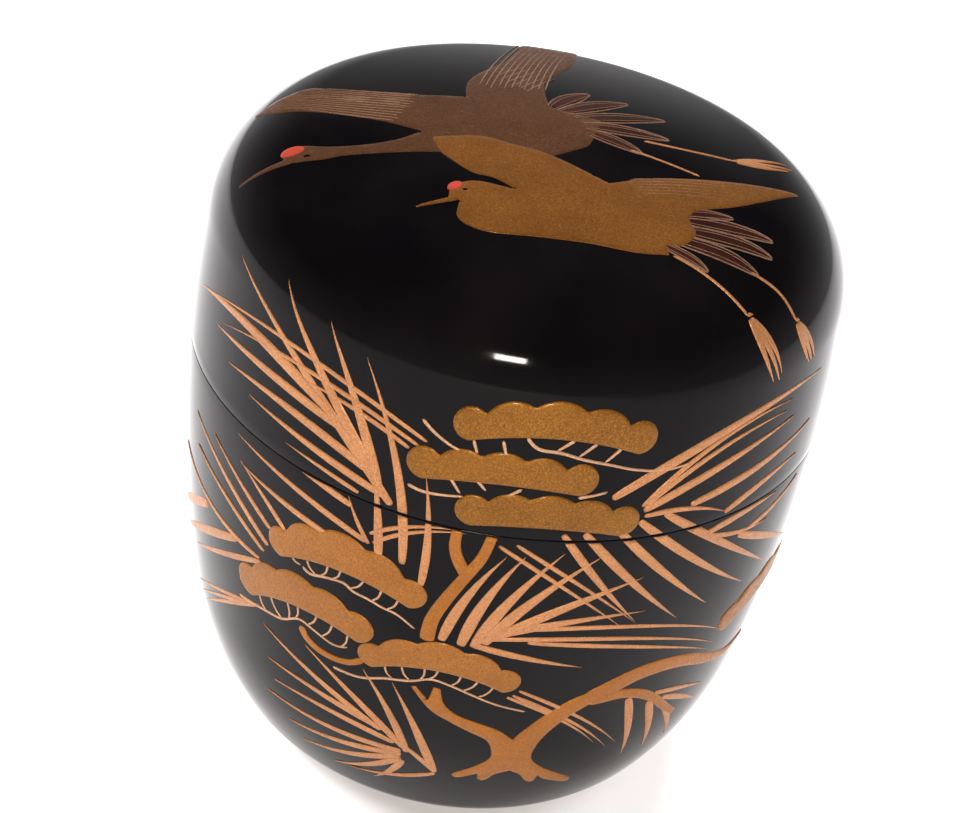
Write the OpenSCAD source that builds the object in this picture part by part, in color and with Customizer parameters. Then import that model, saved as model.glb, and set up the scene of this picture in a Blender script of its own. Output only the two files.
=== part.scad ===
// Lacquered tea caddy: a turned wooden body and a pull-off lid, each coated inside and out,
// with raised gold decoration of pines, sprays of slender leaves and two flying cranes.
// Millimetres. Z is up, the foot stands on z = 0 and -Y is the decorated front.

/* [Outer form] */
// Largest outside radius
max_r = 32.7; // [32:0.1:33.5]
// Height of the joint between body and lid
seam_z = 45.3; // [44.5:0.1:46]
// Width and depth of the chamfer on each side of the joint
seam_chamfer = 0.15; // [0.1:0.05:0.3]

/* [Walls] */
// Thickness of the outer lacquer
coat = 0.4; // [0.35:0.05:0.5]
// Thickness of the inner lacquer
inner_coat = 0.3; // [0.2:0.05:0.4]
// Radius of the straight upper part of the hollow in the body
hollow_r = 28.4; // [28:0.1:28.6]
// Outside radius of the lip that the lid slides over
lip_r = 30.15; // [30:0.05:30.2]
// Height of the lip above the joint
lip_h = 7.5; // [6:0.1:8]
// Radial gap between the lip and the lid
slide_gap = 0.15; // [0.1:0.05:0.25]
// Height at which the lid's hollow starts to round into its dome
lid_round_z = 55; // [54.5:0.1:55.5]

/* [Foot] */
// Inside radius of the foot ring
recess_r = 18.8; // [17:0.1:19.5]
// Depth of the recess inside the foot ring
recess_depth = 0.8; // [0.5:0.1:1]

/* [Decoration] */
// Height of the gold above the lacquer
gold_h = 0.1; // [0.05:0.01:0.15]
// Depth of the gold's root in the lacquer
gold_bite = 0.1; // [0.05:0.01:0.15]
// Width of the thin twig lines
twig_w = 0.3; // [0.2:0.05:0.4]
// Clear strip that the gold leaves on each side of the joint
seam_clear = 0.2; // [0.2:0.05:0.4]

/* [Hidden] */

$fn = 180;
far = 60;                       // reach of a cutting shape past the object
sky_z = 90;                     // a height clear above the lid
ground_z = -1;                  // a height just below the foot
long_arc_fn = 720;              // segments on the long, nearly flat arcs
arc_join = 0.01;                // how far a smaller arc stands out where it meets a larger one
arc_lap = 2;                    // length by which it laps over that arc
fill_inset = 1;                 // how far the fill behind the arcs stays inside them
wall_gold_z = [2, 62];          // lowest and highest gold on the wall
top_gold_z = 57;                // lowest gold that belongs to the lid's top
plan_lean = 75;                 // steepest lean of the surface that a plan drawing reaches
lobes = 5;                      // lobes along the top of a clump of needles
lobe_drop = 0.8;                // how far the middle lobe is sunk and widened, for shallow scallops
clump_top_steps = 30;           // points along the scalloped top of a clump
clump_under_steps = 14;         // points along its underside
leaf_steps = 5;                 // points down each side of a leaf
gold = "#a9783a";
leaf_gold = "#c98f5c";
black = "#0b0a0c";
wood = "#a67c4e";
red = "#b5473a";
feather_brown = "#4a2019";

// Chains of tangent arcs: [radius, angle of the outward normal at the arc's end]
side_up = [[136, 9], [10.6, 81]];
side_down = [[180, 6], [45, 24], [7.5, 90]];
hollow_down = [[175.7, 6], [20, 34], [12, 90]];
lid_hollow_up = [[30, 2], [9, 81]];

widest_z = end_of(side_down, max_r)[1];
foot_r = end_of(side_down, max_r)[0];
lid_r = lip_r + slide_gap;
seam_r = max_r - side_up[0][0] * (1 - cos(asin((seam_z - widest_z) / side_up[0][0])));

// ---------------------------------------------------------------- turned profiles

function ray(a) = [cos(a), sin(a)];
function start_angle(arcs, i) = i == 0 ? 0 : arcs[i - 1][1];
function arc_start(arcs, r, i) = i == 0 ? [r, 0]
    : arc_centre(arcs, r, i - 1) + arcs[i - 1][0] * ray(arcs[i - 1][1]);
function arc_centre(arcs, r, i) = arc_start(arcs, r, i) - arcs[i][0] * ray(start_angle(arcs, i));
function end_of(arcs, r) = arc_start(arcs, r, len(arcs));
function end_angle(arcs) = arcs[len(arcs) - 1][1];

// The slice of a disc between two normals
module slice(centre, r, a0, a1)
    intersection() {
        translate(centre)
            circle(r, $fn = r > 20 ? long_arc_fn : $fn);
        polygon([centre, for (k = [0:3]) centre + 2 * r * ray(a0 + (a1 - a0) * k / 3)]);
    }

// The right half of the region under a chain of arcs that rises from (r, 0), grown by t.
// The radii shrink along the chain. Each arc after the first laps over its neighbours and
// stands out by arc_join, so that the curves cross cleanly. The chain is closed by a dome
// when it stops short of 90 degrees, else by a flat.
module chain_up(arcs, r, t = 0) {
    n = len(arcs);
    top = end_of(arcs, r);
    last = end_angle(arcs);
    flat_z = last < 90 ? far : top[1] + t;
    intersection() {
        square([far, flat_z]);
        union() {
            slice(arc_centre(arcs, r, 0), arcs[0][0] + t, 0, arcs[0][1]);
            for (i = [1:1:n - 1]) {
                lap = arc_lap / arcs[i][0] * 180 / PI;
                slice(arc_centre(arcs, r, i), arcs[i][0] + t + arc_join,
                    start_angle(arcs, i) - lap, arcs[i][1] + (i == n - 1 ? lap : 0));
            }
            polygon([[0, 0], [r - fill_inset, 0],
                for (i = [1:n]) arc_start(arcs, r, i) + (t - fill_inset) * ray(start_angle(arcs, i)),
                [0, top[1] - fill_inset]]);
            if (last < 90)
                slice([0, top[1] - top[0] * tan(last)], top[0] / cos(last) + t, last, 91);
            else
                square([top[0], flat_z + fill_inset]);
        }
    }
}

// Profile of the closed caddy, grown by t
module outer_form(t = 0)
    translate([0, widest_z]) {
        chain_up(side_up, max_r, t);
        mirror([0, 1])
            chain_up(side_down, max_r, t);
    }

// Profile of the hollow in the body, open upward, grown by t
module body_hollow(t = 0) {
    translate([0, widest_z])
        mirror([0, 1])
            chain_up(hollow_down, hollow_r, t);
    translate([0, widest_z])
        square([hollow_r + t, far]);
}

// Profile of the hollow in the lid, open downward, grown by t
module lid_hollow(t = 0) {
    translate([0, lid_round_z])
        chain_up(lid_hollow_up, lid_r, t);
    square([lid_r + t, lid_round_z]);
}

module between(z0, z1)
    translate([0, z0])
        square([far, z1 - z0]);

// The V that the two rims' chamfers leave at the joint
module seam_notch()
    translate([seam_r - seam_chamfer, seam_z])
        polygon([[0, 0], [far, -far], [far, far]]);

module turned()
    rotate_extrude()
        children();

// ---------------------------------------------------------------- body of the caddy

// Section of the foot ring's recess, deepened and narrowed by t
module foot_recess(t = 0)
    square([recess_r + t, recess_depth + t]);

module body_wood_core()
    color(wood)
        turned()
            difference() {
                union() {
                    intersection() {
                        outer_form(-coat);
                        between(ground_z, seam_z - coat);
                    }
                    translate([0, widest_z])
                        square([lip_r - inner_coat, seam_z + lip_h - inner_coat - widest_z]);
                }
                body_hollow(inner_coat);
                foot_recess(coat);
                square([far, coat]);
            }

// Outer coat, from the foot ring's edge up over the ledge that the lid rests on
module body_outer_lacquer()
    color(black)
        turned()
            difference() {
                intersection() {
                    outer_form();
                    between(ground_z, seam_z);
                }
                intersection() {
                    outer_form(-coat);
                    between(ground_z, seam_z - coat);
                }
                translate([0, ground_z])
                    square([foot_r, seam_z / 2]);
                translate([0, widest_z])
                    square([lip_r, far]);
                seam_notch();
            }

// Inner coat, which also wraps over the lip
module body_inner_lacquer()
    color(black)
        turned()
            difference() {
                union() {
                    intersection() {
                        body_hollow(inner_coat);
                        between(0, seam_z + lip_h);
                    }
                    translate([hollow_r, seam_z - coat])
                        square([lip_r - hollow_r, lip_h + coat]);
                }
                body_hollow();
                translate([hollow_r + inner_coat, 0])
                    square([lip_r - hollow_r - 2 * inner_coat, seam_z + lip_h - inner_coat]);
            }

// Underside coat: the foot ring's flat and the recess that it surrounds
module body_foot_lacquer()
    color(black)
        turned()
            difference() {
                square([foot_r, recess_depth + coat]);
                foot_recess();
                translate([recess_r + coat, coat])
                    square(far);
            }

// ---------------------------------------------------------------- lid

module lid_wood_core()
    color(wood)
        turned()
            difference() {
                intersection() {
                    outer_form(-coat);
                    between(seam_z + coat, sky_z);
                }
                lid_hollow(inner_coat);
            }

module lid_outer_lacquer()
    color(black)
        turned()
            difference() {
                intersection() {
                    outer_form();
                    between(seam_z, sky_z);
                }
                intersection() {
                    outer_form(-coat);
                    between(seam_z + coat, sky_z);
                }
                lid_hollow();
                square([lid_r + inner_coat, seam_z]);
                seam_notch();
            }

module lid_inner_lacquer()
    color(black)
        turned()
            difference() {
                intersection() {
                    lid_hollow(inner_coat);
                    between(seam_z + coat, sky_z);
                }
                lid_hollow();
            }

// ---------------------------------------------------------------- decoration shapes
//
// Flat drawings. On the wall they are drawn as [distance round the wall, height], with
// distances measured at the largest radius from the middle of the front. On the lid's top
// they are drawn in plan.

function unit(v) = v / norm(v);
function left_of(v) = [-v[1], v[0]];
function bend(a, m, b, t) = (1 - t) * (1 - t) * a + 2 * t * (1 - t) * m + t * t * b;
function bend_way(a, m, b, t) = unit((1 - t) * (m - a) + t * (b - m));

// Points down one side of a leaf from a to b, whose middle bows to the left by "bow"
function leaf_side(a, b, bow, w, side) =
    let (m = (a + b) / 2 + 2 * bow * left_of(unit(b - a)))
    [for (k = [0:leaf_steps - 1])
        let (t = k / leaf_steps)
        bend(a, m, b, t) + side * w / 2 * leaf_fullness(t) * left_of(bend_way(a, m, b, t))];
// Share of the full width at t along a leaf: broad near its foot, fine at its tip
function leaf_fullness(t) = 0.56 + 0.69 * sin(180 * pow(t, 0.6)) - 0.56 * t;
function reverse(v) = [for (i = [len(v) - 1:-1:0]) v[i]];

// A slender leaf: [start, tip, bow, width]
module leaf(spec) {
    a = spec[0];
    b = spec[1];
    polygon(concat(leaf_side(a, b, spec[2], spec[3], 1), [b],
        reverse(leaf_side(a, b, spec[2], spec[3], -1))));
}

module leaves(list)
    for (spec = list)
        leaf(spec);

// A strip along points, tapering from width w0 to w1
function way_at(pts, i) = unit(pts[min(i + 1, len(pts) - 1)] - pts[max(i - 1, 0)]);
function strip_side(pts, w0, w1, side) = [for (i = [0:len(pts) - 1])
    pts[i] + side * (w0 + (w1 - w0) * i / (len(pts) - 1)) / 2 * left_of(way_at(pts, i))];
module strip(pts, w0, w1)
    polygon(concat(strip_side(pts, w0, w1, 1), reverse(strip_side(pts, w0, w1, -1))));

module twigs(list)
    for (pts = list)
        strip(pts, twig_w, twig_w);

// A cushion of pine needles, drawn from its left end along +X: lobes along an arch,
// hollowed below. [left end, right end, rise of the middle, radius of end lobes, radius of
// middle lobes, rise of the underside]
function lobe_swell(i) = sin(180 * i / (lobes - 1));
function lobe_centre(span, rise, i) = [span * i / (lobes - 1), (rise - lobe_drop) * lobe_swell(i)];
function lobe_radius(r0, r1, i) = r0 + (r1 - r0 + lobe_drop) * lobe_swell(i);
function lobe_top(c, r, x) = abs(x - c[0]) < r ? c[1] + sqrt(r * r - pow(x - c[0], 2)) : -far;
function clump_top(span, rise, r0, r1, x) = max([for (i = [0:lobes - 1])
    lobe_top(lobe_centre(span, rise, i), lobe_radius(r0, r1, i), x)]);
function under_radius(span, rise) = (span * span / 4 + rise * rise) / (2 * rise);
function under_arc(r, x) = sqrt(r * r - x * x) - r;
function clump_under(span, r0, rise, x) = x < 0 ? -sqrt(r0 * r0 - x * x)
    : x > span ? -sqrt(r0 * r0 - pow(x - span, 2))
    : rise - r0 + under_arc(under_radius(span, rise), x - span / 2);
// Places along a clump, closer together towards its round ends
function clump_x(span, r0, t) = span / 2 - (span / 2 + r0) * cos(180 * t);

module clump(spec) {
    reach = spec[1] - spec[0];
    span = norm(reach);
    rise = spec[2];
    r0 = spec[3];
    r1 = spec[4];
    under_rise = spec[5];
    upper = [for (k = [1:clump_top_steps - 1])
        let (x = clump_x(span, r0, k / clump_top_steps)) [x, clump_top(span, rise, r0, r1, x)]];
    lower = [for (k = [clump_under_steps - 1:-1:1])
        let (x = clump_x(span, r0, k / clump_under_steps)) [x, clump_under(span, r0, under_rise, x)]];
    translate(spec[0])
        rotate(atan2(reach[1], reach[0]))
            polygon(concat([[-r0, 0]], upper, [[span + r0, 0]], lower));
}

module clumps(list)
    for (spec = list)
        clump(spec);

// ---------------------------------------------------------------- wrapping on the surface

// The thin layer at the outer surface between heights z0 and z1
module gold_layer(z0, z1)
    turned()
        difference() {
            intersection() {
                outer_form(gold_h);
                between(z0, z1);
            }
            outer_form(-gold_bite);
        }

// Where a point drawn round the wall lies when seen from the direction "facing"
function seen(p, facing) = [max_r * sin((p[0] - facing) / max_r * 180 / PI), p[1]];
function seen_leaf(s, facing) = [seen(s[0], facing), seen(s[1], facing), s[2], s[3]];
function seen_leaves(list, facing) = [for (s = list) seen_leaf(s, facing)];
function seen_points(pts, facing) = [for (p = pts) seen(p, facing)];
function seen_all(list, facing) = [for (pts = list) seen_points(pts, facing)];
function seen_clumps(list, facing) =
    [for (s = list) [seen(s[0], facing), seen(s[1], facing), s[2], s[3], s[4], s[5]]];

// Presses a drawing on the wall where it faces the direction "facing"
module on_wall(facing, z0, z1)
    intersection() {
        rotate([0, 0, facing / max_r * 180 / PI])
            rotate([90, 0, 0])
                linear_extrude(far)
                    children();
        gold_layer(z0, z1);
    }

module on_body(facing)
    on_wall(facing, wall_gold_z[0], seam_z - seam_clear)
        children();

module on_lid_wall(facing)
    on_wall(facing, seam_z + seam_clear, wall_gold_z[1])
        children();

// Presses a plan drawing on the lid's top
module on_lid_top()
    intersection() {
        translate([0, 0, top_gold_z])
            linear_extrude(far)
                children();
        gold_layer(top_gold_z, sky_z);
    }

// ---------------------------------------------------------------- decoration drawings
// A leaf is [start, tip, bow, width]. A clump is
// [left end, right end, rise, radius of its end lobes, radius of its middle lobes, rise of
// its underside].

lid_clump_list = [
    [[-1.9, 55.6], [12.8, 55.6], 0.5, 1.6, 2.7, 1.3],
    [[-5.3, 51], [8.1, 51.6], 0.2, 1.6, 2.1, 0.7],
    [[-0.5, 47.5], [12.6, 47.3], 0.3, 1.6, 2.3, 0.7]
];
front_clump_list = [
    [[-18, 36.1], [-4.8, 36.9], 1.9, 1.7, 2.6, 1.7],
    [[-22, 28.4], [-9.4, 30.6], 1.5, 1.9, 2.6, 1.8],
    [[-7.3, 27.8], [5.1, 28], 1.6, 1.6, 2.5, 1.8]
];
right_clump_list = [[[30.5, 29.5], [43, 29.5], 1.2, 1.8, 2.4, 1.4]];
back_clump_list = [
    [[88, 33], [100, 33], 1.2, 1.6, 2.4, 1.4],
    [[98, 26], [110, 26], 1.2, 1.6, 2.4, 1.4]
];

lid_twig_list = [
    [[-6.2, 55], [-5, 54.1], [-3.5, 53.3], [-2, 52.8]],
    [[-1.6, 54.4], [-0.9, 52.8]],
    [[0.9, 54.8], [1.6, 52.8]],
    [[2.8, 55.3], [4, 54.3], [6, 54.1], [8, 53.6], [10.5, 53.1], [13, 52.5], [16, 52.2], [19, 52.6]],
    [[7.2, 55.5], [5.4, 54.1]],
    [[9.2, 55.3], [7.4, 53.7]],
    [[11.4, 54.8], [9.8, 53.2]],
    [[-6.6, 48.5], [-5, 48.2], [-3, 48.4], [-1.4, 48.7]],
    [[-3.2, 50.6], [-1.7, 48.7]],
    [[-0.8, 50.7], [0.4, 49.5]],
    [[3.4, 50.4], [1.8, 49.2]],
    [[8, 49.8], [9.5, 50.1], [10.9, 50.5]],
    [[5.8, 46.5], [6.3, 45.4]],
    [[9.5, 46.4], [8.9, 45.4]]
];
body_twig_list = [
    [[-15.5, 34.9], [-14.5, 34.5], [-13, 35], [-11, 35.4], [-10, 34.9], [-8.5, 34.7], [-7, 34.3],
        [-5.5, 34], [-3.6, 32.8]],
    [[-13, 36.2], [-12, 35.2]],
    [[-9.6, 36.5], [-10.6, 35.2]],
    [[-7.8, 36.2], [-8.4, 34.8]],
    [[-24, 25], [-22, 25.5], [-20, 26], [-17.5, 26.6], [-15.5, 28], [-14, 27.8], [-11.5, 27.1],
        [-9.8, 27.6]],
    [[-18, 28.3], [-16.4, 27.5]],
    [[-13.3, 29], [-14.2, 27.8]],
    [[-11.4, 28.9], [-12.2, 27.4]],
    [[-11.5, 24], [-8.5, 24.2], [-6, 25.3], [-3.5, 26], [-1.5, 26.9], [0.7, 26.4], [2.6, 25.6],
        [5, 24.6], [8, 23.7]],
    [[-8, 26.4], [-7, 25]],
    [[-3.6, 27.7], [-2.4, 26.5]],
    [[0.6, 28.2], [-0.3, 26.9]],
    [[2.8, 27.4], [1.8, 26]]
];

// Each strand of trunk or branch is [points, first width, last width]
trunk_list = [
    [[[7.8, 19.5], [7.8, 17], [7.8, 14.5]], 4, 6],
    [[[8, 17.5], [9.6, 20.4], [11.6, 23], [14.5, 25.3]], 3.4, 2.5],
    [[[7.4, 17.8], [5.6, 19.8], [3, 20.8], [0.8, 22], [-1.2, 23.2], [-3.3, 25.4]], 2.6, 0.8],
    [[[0.8, 22], [0, 23.6], [-0.8, 25.9]], 1.3, 0.9],
    [[[7, 16], [4.5, 13.8], [2.4, 12.2]], 2.6, 1.1],
    [[[7, 15.5], [5.4, 12.1]], 2.2, 1.1],
    [[[9, 15.5], [10.7, 11.7]], 2.4, 1.1],
    [[[9.5, 15.5], [12.5, 13], [15.3, 10.8]], 2, 1]
];
upper_branch_list = [
    [[[-2.6, 31.6], [-2.4, 34.5], [-1.6, 37], [-0.6, 39.3], [0.2, 41], [1, 42.8], [1.6, 45.5]], 1.4, 0.9],
    [[[0, 40.4], [-1, 42], [-1.5, 43.5], [-1.5, 45.5]], 1.2, 0.9],
    [[[-15.2, 27.4], [-14.4, 26.1], [-13, 25.4], [-11, 25.3], [-9.4, 25.8], [-8.2, 26.8]], 0.8, 0.7]
];
right_branch_list = [
    [[[13.5, 24.6], [18, 27], [21.5, 27.3], [25, 26.4], [28.5, 24.6], [33, 22.5], [38, 22]], 2.5, 0.7],
    [[[14, 24.6], [17.5, 24.7], [20, 23.8], [22.3, 22], [24.5, 19.6], [27, 17]], 1.5, 0.8]
];
back_branch_list = [
    [[[112, 13], [108, 18], [102, 22], [95, 28], [92, 33]], 2.4, 0.8],
    [[[105, 20], [106, 26]], 1.2, 0.8]
];

// Leaves that cross the joint are drawn whole and cut there
left_spray_list = [
    [[-7.2, 45.4], [-30, 60], -1.9, 0.9],
    [[-10, 49], [-22.5, 61.2], -0.2, 0.9],
    [[-8.8, 47], [-16.5, 60.2], -0.6, 0.9],
    [[-5.8, 39.7], [-12.2, 58.8], -1.5, 0.8],
    [[-3.9, 38], [-5, 50], -0.5, 0.7],
    [[-8, 39.7], [-9.6, 49], -0.2, 0.8],
    [[-8, 46.4], [-24.5, 48.9], -0.5, 0.7],
    [[-9.6, 48.2], [-28.5, 49.8], -1.4, 0.8],
    [[-13, 51.2], [-32, 51.8], -0.9, 0.8],
    [[-14, 52], [-37.5, 52.5], -2.6, 1],
    [[-4.8, 52.7], [-36, 53], -3.4, 0.4],
    [[-5.6, 52.2], [-31, 52.4], -2.6, 0.4],
    [[-6.6, 51.8], [-20, 53.6], -1, 0.4],
    [[-10.5, 45.8], [-19, 47], -0.2, 0.4],
    [[-11, 44.2], [-18.4, 45.4], -0.2, 0.6],
    [[-9, 40.9], [-11.6, 45.3], 0.2, 0.4],
    [[-9, 41], [-25.5, 44.1], -0.5, 0.6],
    [[-12.5, 39.9], [-24.5, 41.4], -0.1, 0.6],
    [[-8.8, 41.1], [-0.5, 45], 0.9, 0.4],
    [[-9.2, 42], [-1, 45.2], 0.8, 0.4]
];
right_spray_list = [
    [[10.8, 49.4], [37.5, 55.8], 2.8, 0.9],
    [[14, 48.4], [31.5, 55.1], 2.7, 0.5],
    [[14.3, 48.4], [30.8, 54.2], 2.1, 0.5],
    [[14.2, 48.1], [32.2, 53.2], 1, 0.8],
    [[19, 47.9], [36.5, 50.9], 0.3, 0.8],
    [[23.5, 45.8], [34.5, 48], 0.6, 0.7],
    [[14.5, 47.6], [24.2, 45.7], 0.9, 0.5],
    [[16.4, 47.8], [34.5, 34.5], 0.2, 0.8],
    [[14, 47.4], [30.5, 34.2], -0.2, 0.8],
    [[12.2, 46.6], [25, 34.3], -0.2, 0.8],
    [[9.2, 46.4], [21.5, 33.8], -0.2, 0.8],
    [[7.4, 46.2], [16.5, 35], -0.2, 0.7],
    [[21.8, 44], [32, 44.8], 0.4, 0.7],
    [[21.8, 43.9], [31.5, 41.9], -0.4, 0.5],
    [[26.5, 42.2], [39, 35.2], 0.2, 0.8],
    [[28, 42.3], [36.5, 44.5], -0.2, 0.6]
];
far_left_spray_list = [
    [[-17.6, 37.6], [-24.5, 41.6], -0.3, 0.5],
    [[-19.4, 36.6], [-29.5, 41.3], -0.3, 0.5],
    [[-19.5, 34.4], [-34.5, 40.6], -0.7, 0.6],
    [[-20, 33.4], [-33.5, 37.2], -0.6, 0.5],
    [[-20.5, 32.2], [-38.5, 34], 0.6, 0.5],
    [[-20.4, 32], [-35, 22.8], -0.2, 0.6],
    [[-24, 32.2], [-43.5, 18.5], -0.6, 0.9],
    [[-30, 32], [-47, 19], -0.5, 1]
];
centre_spray_list = [
    [[-1.3, 32], [3.2, 43.4], 0.7, 0.9],
    [[0.5, 31.8], [4.8, 43.6], 0.7, 1],
    [[1.6, 31.8], [8.2, 44.2], 0.8, 1],
    [[2.4, 32.4], [11.6, 43.7], 0.9, 1],
    [[3, 33.2], [16.3, 40.7], 0.9, 1],
    [[2, 33.2], [17.5, 36.2], 1.2, 0.8],
    [[1.5, 32.4], [12.4, 29.8], 0.1, 0.7]
];
low_left_spray_list = [
    [[0.3, 12.3], [-5.3, 25.3], -0.3, 0.9],
    [[-2.8, 14.8], [-8.3, 25.7], -0.5, 0.8],
    [[-3, 15.4], [-14.8, 25.2], -0.6, 0.8],
    [[-5.5, 17.4], [-20.3, 24.2], -0.3, 0.7],
    [[-6, 17.8], [-19.8, 19.6], -0.6, 0.7],
    [[-4, 16], [-19, 16.8], -0.9, 0.7],
    [[-3.2, 15], [-20.3, 14.2], 0.1, 0.7],
    [[-3.2, 14.6], [-17.5, 11.2], 0.2, 0.8],
    [[-3.3, 14.2], [-16, 8.6], 0.5, 0.8],
    [[-3.4, 13.8], [-11.5, 7.6], 0.6, 0.8],
    [[-3.2, 13.4], [-6.5, 7.8], 0.4, 0.8],
    [[0.5, 12.2], [-9.5, 8.2], 0.5, 0.6],
    [[0.5, 12.2], [-6, 18], -0.4, 0.6]
];
low_right_spray_list = [
    [[18.6, 23.8], [21.2, 12.8], 0.3, 0.9],
    [[21.6, 22], [24.3, 12.5], 0.3, 0.9],
    [[24, 20.5], [28.2, 12], 0.3, 0.8],
    [[22, 23], [30.5, 19.5], 0.3, 0.6],
    [[23.5, 21.6], [31, 16.5], 0.3, 0.7]
];
back_spray_list = [
    [[90, 34], [78, 42], -0.5, 0.8],
    [[90, 34], [82, 44], -0.5, 0.8],
    [[90, 34], [76, 38], -0.5, 0.8],
    [[90, 34], [76, 33], -0.5, 0.8],
    [[112, 13], [122, 22], -0.5, 0.8],
    [[112, 13], [125, 17], -0.5, 0.8],
    [[112, 13], [118, 25], -0.5, 0.8]
];
long_stem_list = [
    [[2.5, 34.4], [30.5, 27.5], 3.4, 0.5],
    [[2, 33.2], [29.5, 26.3], 3.2, 0.5],
    [[6, 33.3], [28.5, 26], 1.8, 0.5],
    [[6.5, 26.9], [19.5, 16], 1, 0.4],
    [[6, 26.2], [18.3, 15.8], 1, 0.4],
    [[5.5, 25.9], [16.5, 17.2], 0.9, 0.4],
    [[2, 44.4], [15.5, 34.3], 0.5, 0.4],
    [[3.5, 44.7], [16.8, 34.6], 0.5, 0.4]
];
left_stem_list = [
    [[-20.3, 26.1], [-35.5, 17.2], -0.5, 0.4],
    [[-20.8, 25.8], [-34.5, 16.4], -0.4, 0.4],
    [[-21.3, 25.5], [-33.5, 15.8], -0.3, 0.4]
];

// Cranes, drawn on the lid's top as [distance to the right, distance back] from its middle,
// measured along the surface
wing_joint = [[0.5, -6.6], [-3, -5.8], [-6, -5.2], [-10.4, -6.6], [-9.2, -9.1]];
front_crane_outline = concat(
    [[-9.9, -18.2], [-9.8, -18.6], [-6.4, -16.7], [-6.3, -19], [-5, -20.2], [-3, -20.6], [0, -20.2],
    [5, -19.6], [9, -19.4], [12, -18.6], [11.6, -17.5], [13.2, -16.6], [14.2, -14.5], [13.6, -12.4],
    [14.4, -10.6], [17.6, -8.2], [20.4, -5.6], [24.8, -1], [18.5, -3], [10.5, -6.6], [6.1, -9.6]],
    wing_joint,
    [[-7.5, -10.8], [-5.8, -12.1], [-4, -12.4], [-2, -13.6], [-5, -13.2], [-6.6, -13.8], [-7.4, -15],
    [-7.4, -16.4]]);
rear_crane_outline = concat(
    [[-12, -10], [-17, -11.5], [-19, -12.5], [-22, -12.9], [-27.4, -13.6], [-27.4, -13.2],
    [-22.8, -12.1], [-22.8, -11], [-21.5, -10.1], [-19, -10.1], [-16, -9.3], [-13.3, -7.8],
    [-11.4, -5.8], [-15, -4.6], [-20, -3.7], [-25, -3.2], [-28.5, -1.5], [-26, 0.6], [-23, 2.2],
    [-20, 1.7], [-16, 1.6], [-12, 2.3], [-8.4, 3], [-8.7, 6], [-8.2, 9], [-5.8, 15], [-5, 19],
    [-4.2, 24], [-1, 28], [1.5, 25], [1.4, 18], [0.4, 14.5], [-1, 10.5], [-0.9, 7], [-0.2, 3.6],
    [5, 2.6], [4.2, -2.4], [3.6, -4]],
    wing_joint);
crown_list = [[[-7, -14.6], 0.8], [[-22, -11], 1]];
feather_list = [
    [[0, 3.4], [3.4, 9], 0.3, 2.6],
    [[0.8, 2.6], [7.4, 8.6], 0.3, 2.6],
    [[2.2, 1.6], [11.2, 6.4], 0.3, 2.6],
    [[3, 0.6], [11.6, 1.8], 0.3, 2.6],
    [[3.2, -0.4], [9, -2.8], 0.3, 2.4],
    [[12.6, -12], [17.6, -10.2], 0.2, 1.8],
    [[12.8, -12.8], [21.4, -11.8], 0.3, 2.4],
    [[12.8, -14.4], [21.4, -14.1], 0.3, 2.4],
    [[11.8, -16], [20.2, -17], 0.3, 2.2],
    [[11, -17.2], [15.4, -19.2], 0.2, 1.4]
];
leg_list = [
    [[[7.5, -2.4], [10, -2.9], [14.6, -4.2]], 0.3, 0.3],
    [[[8.8, 0.2], [13, 0.6], [18, 1.3]], 0.3, 0.3],
    [[[18, 1.3], [20, 2.3], [24, 4.5]], 0.5, 0.9],
    [[[12, -18.4], [16, -19.9], [20, -21.4]], 0.3, 0.3],
    [[[20, -21.4], [22.5, -23], [27, -23.6]], 0.5, 1.1],
    [[[19, -17], [22.5, -17.2], [25.5, -18.2]], 0.3, 0.3],
    [[[25.5, -18.2], [27.5, -18.8], [31, -18.6]], 0.5, 1]
];

// Plan position of a point drawn along the lid's surface: over the dome, then the shoulder
dome_tilt = 90 - end_angle(side_up);
dome_r = end_of(side_up, max_r)[0] / sin(dome_tilt);
dome_reach = dome_r * dome_tilt * PI / 180;
shoulder_r = side_up[1][0];
function plan_radius(d) = d < dome_reach ? dome_r * sin(d / dome_r * 180 / PI)
    : arc_centre(side_up, max_r, 1)[0]
        + shoulder_r * sin(min(plan_lean, dome_tilt + (d - dome_reach) / shoulder_r * 180 / PI));
function plan(p) = p * plan_radius(norm(p)) / norm(p);

// ---------------------------------------------------------------- decoration nodes

module strands(list, facing)
    for (s = list)
        strip(seen_points(s[0], facing), s[1], s[2]);

module body_strands(list, facing)
    on_body(facing)
        strands(list, facing);

module body_clumps(list, facing)
    on_body(facing)
        clumps(seen_clumps(list, facing));

module body_leaves(list, facing)
    on_body(facing)
        leaves(seen_leaves(list, facing));

module lid_leaves(list, facing)
    on_lid_wall(facing)
        leaves(seen_leaves(list, facing));

module body_pine_trunk()
    color(gold)
        body_strands(trunk_list, 6);

module body_upper_branch()
    color(gold)
        body_strands(upper_branch_list, -5);

module body_right_branch()
    color(gold)
        body_strands(right_branch_list, 24);

module body_back_pine()
    color(gold) {
        body_strands(back_branch_list, 102);
        body_clumps(back_clump_list, 99);
    }

module body_pine_clumps()
    color(gold) {
        body_clumps(front_clump_list, -9);
        body_clumps(right_clump_list, 36);
    }

module body_clump_twigs()
    color(gold)
        on_body(-8)
            twigs(seen_all(body_twig_list, -8));

module body_leaf_spray_centre()
    color(leaf_gold)
        body_leaves(centre_spray_list, 7);

module body_leaf_spray_left()
    color(leaf_gold)
        body_leaves(far_left_spray_list, -30);

module body_leaf_spray_low_left()
    color(leaf_gold)
        body_leaves(low_left_spray_list, -9);

module body_leaf_spray_right()
    color(leaf_gold)
        body_leaves(right_spray_list, 23);

module body_leaf_spray_low_right()
    color(leaf_gold)
        body_leaves(low_right_spray_list, 25);

module body_leaf_spray_seam()
    color(leaf_gold)
        body_leaves(left_spray_list, -14);

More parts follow.
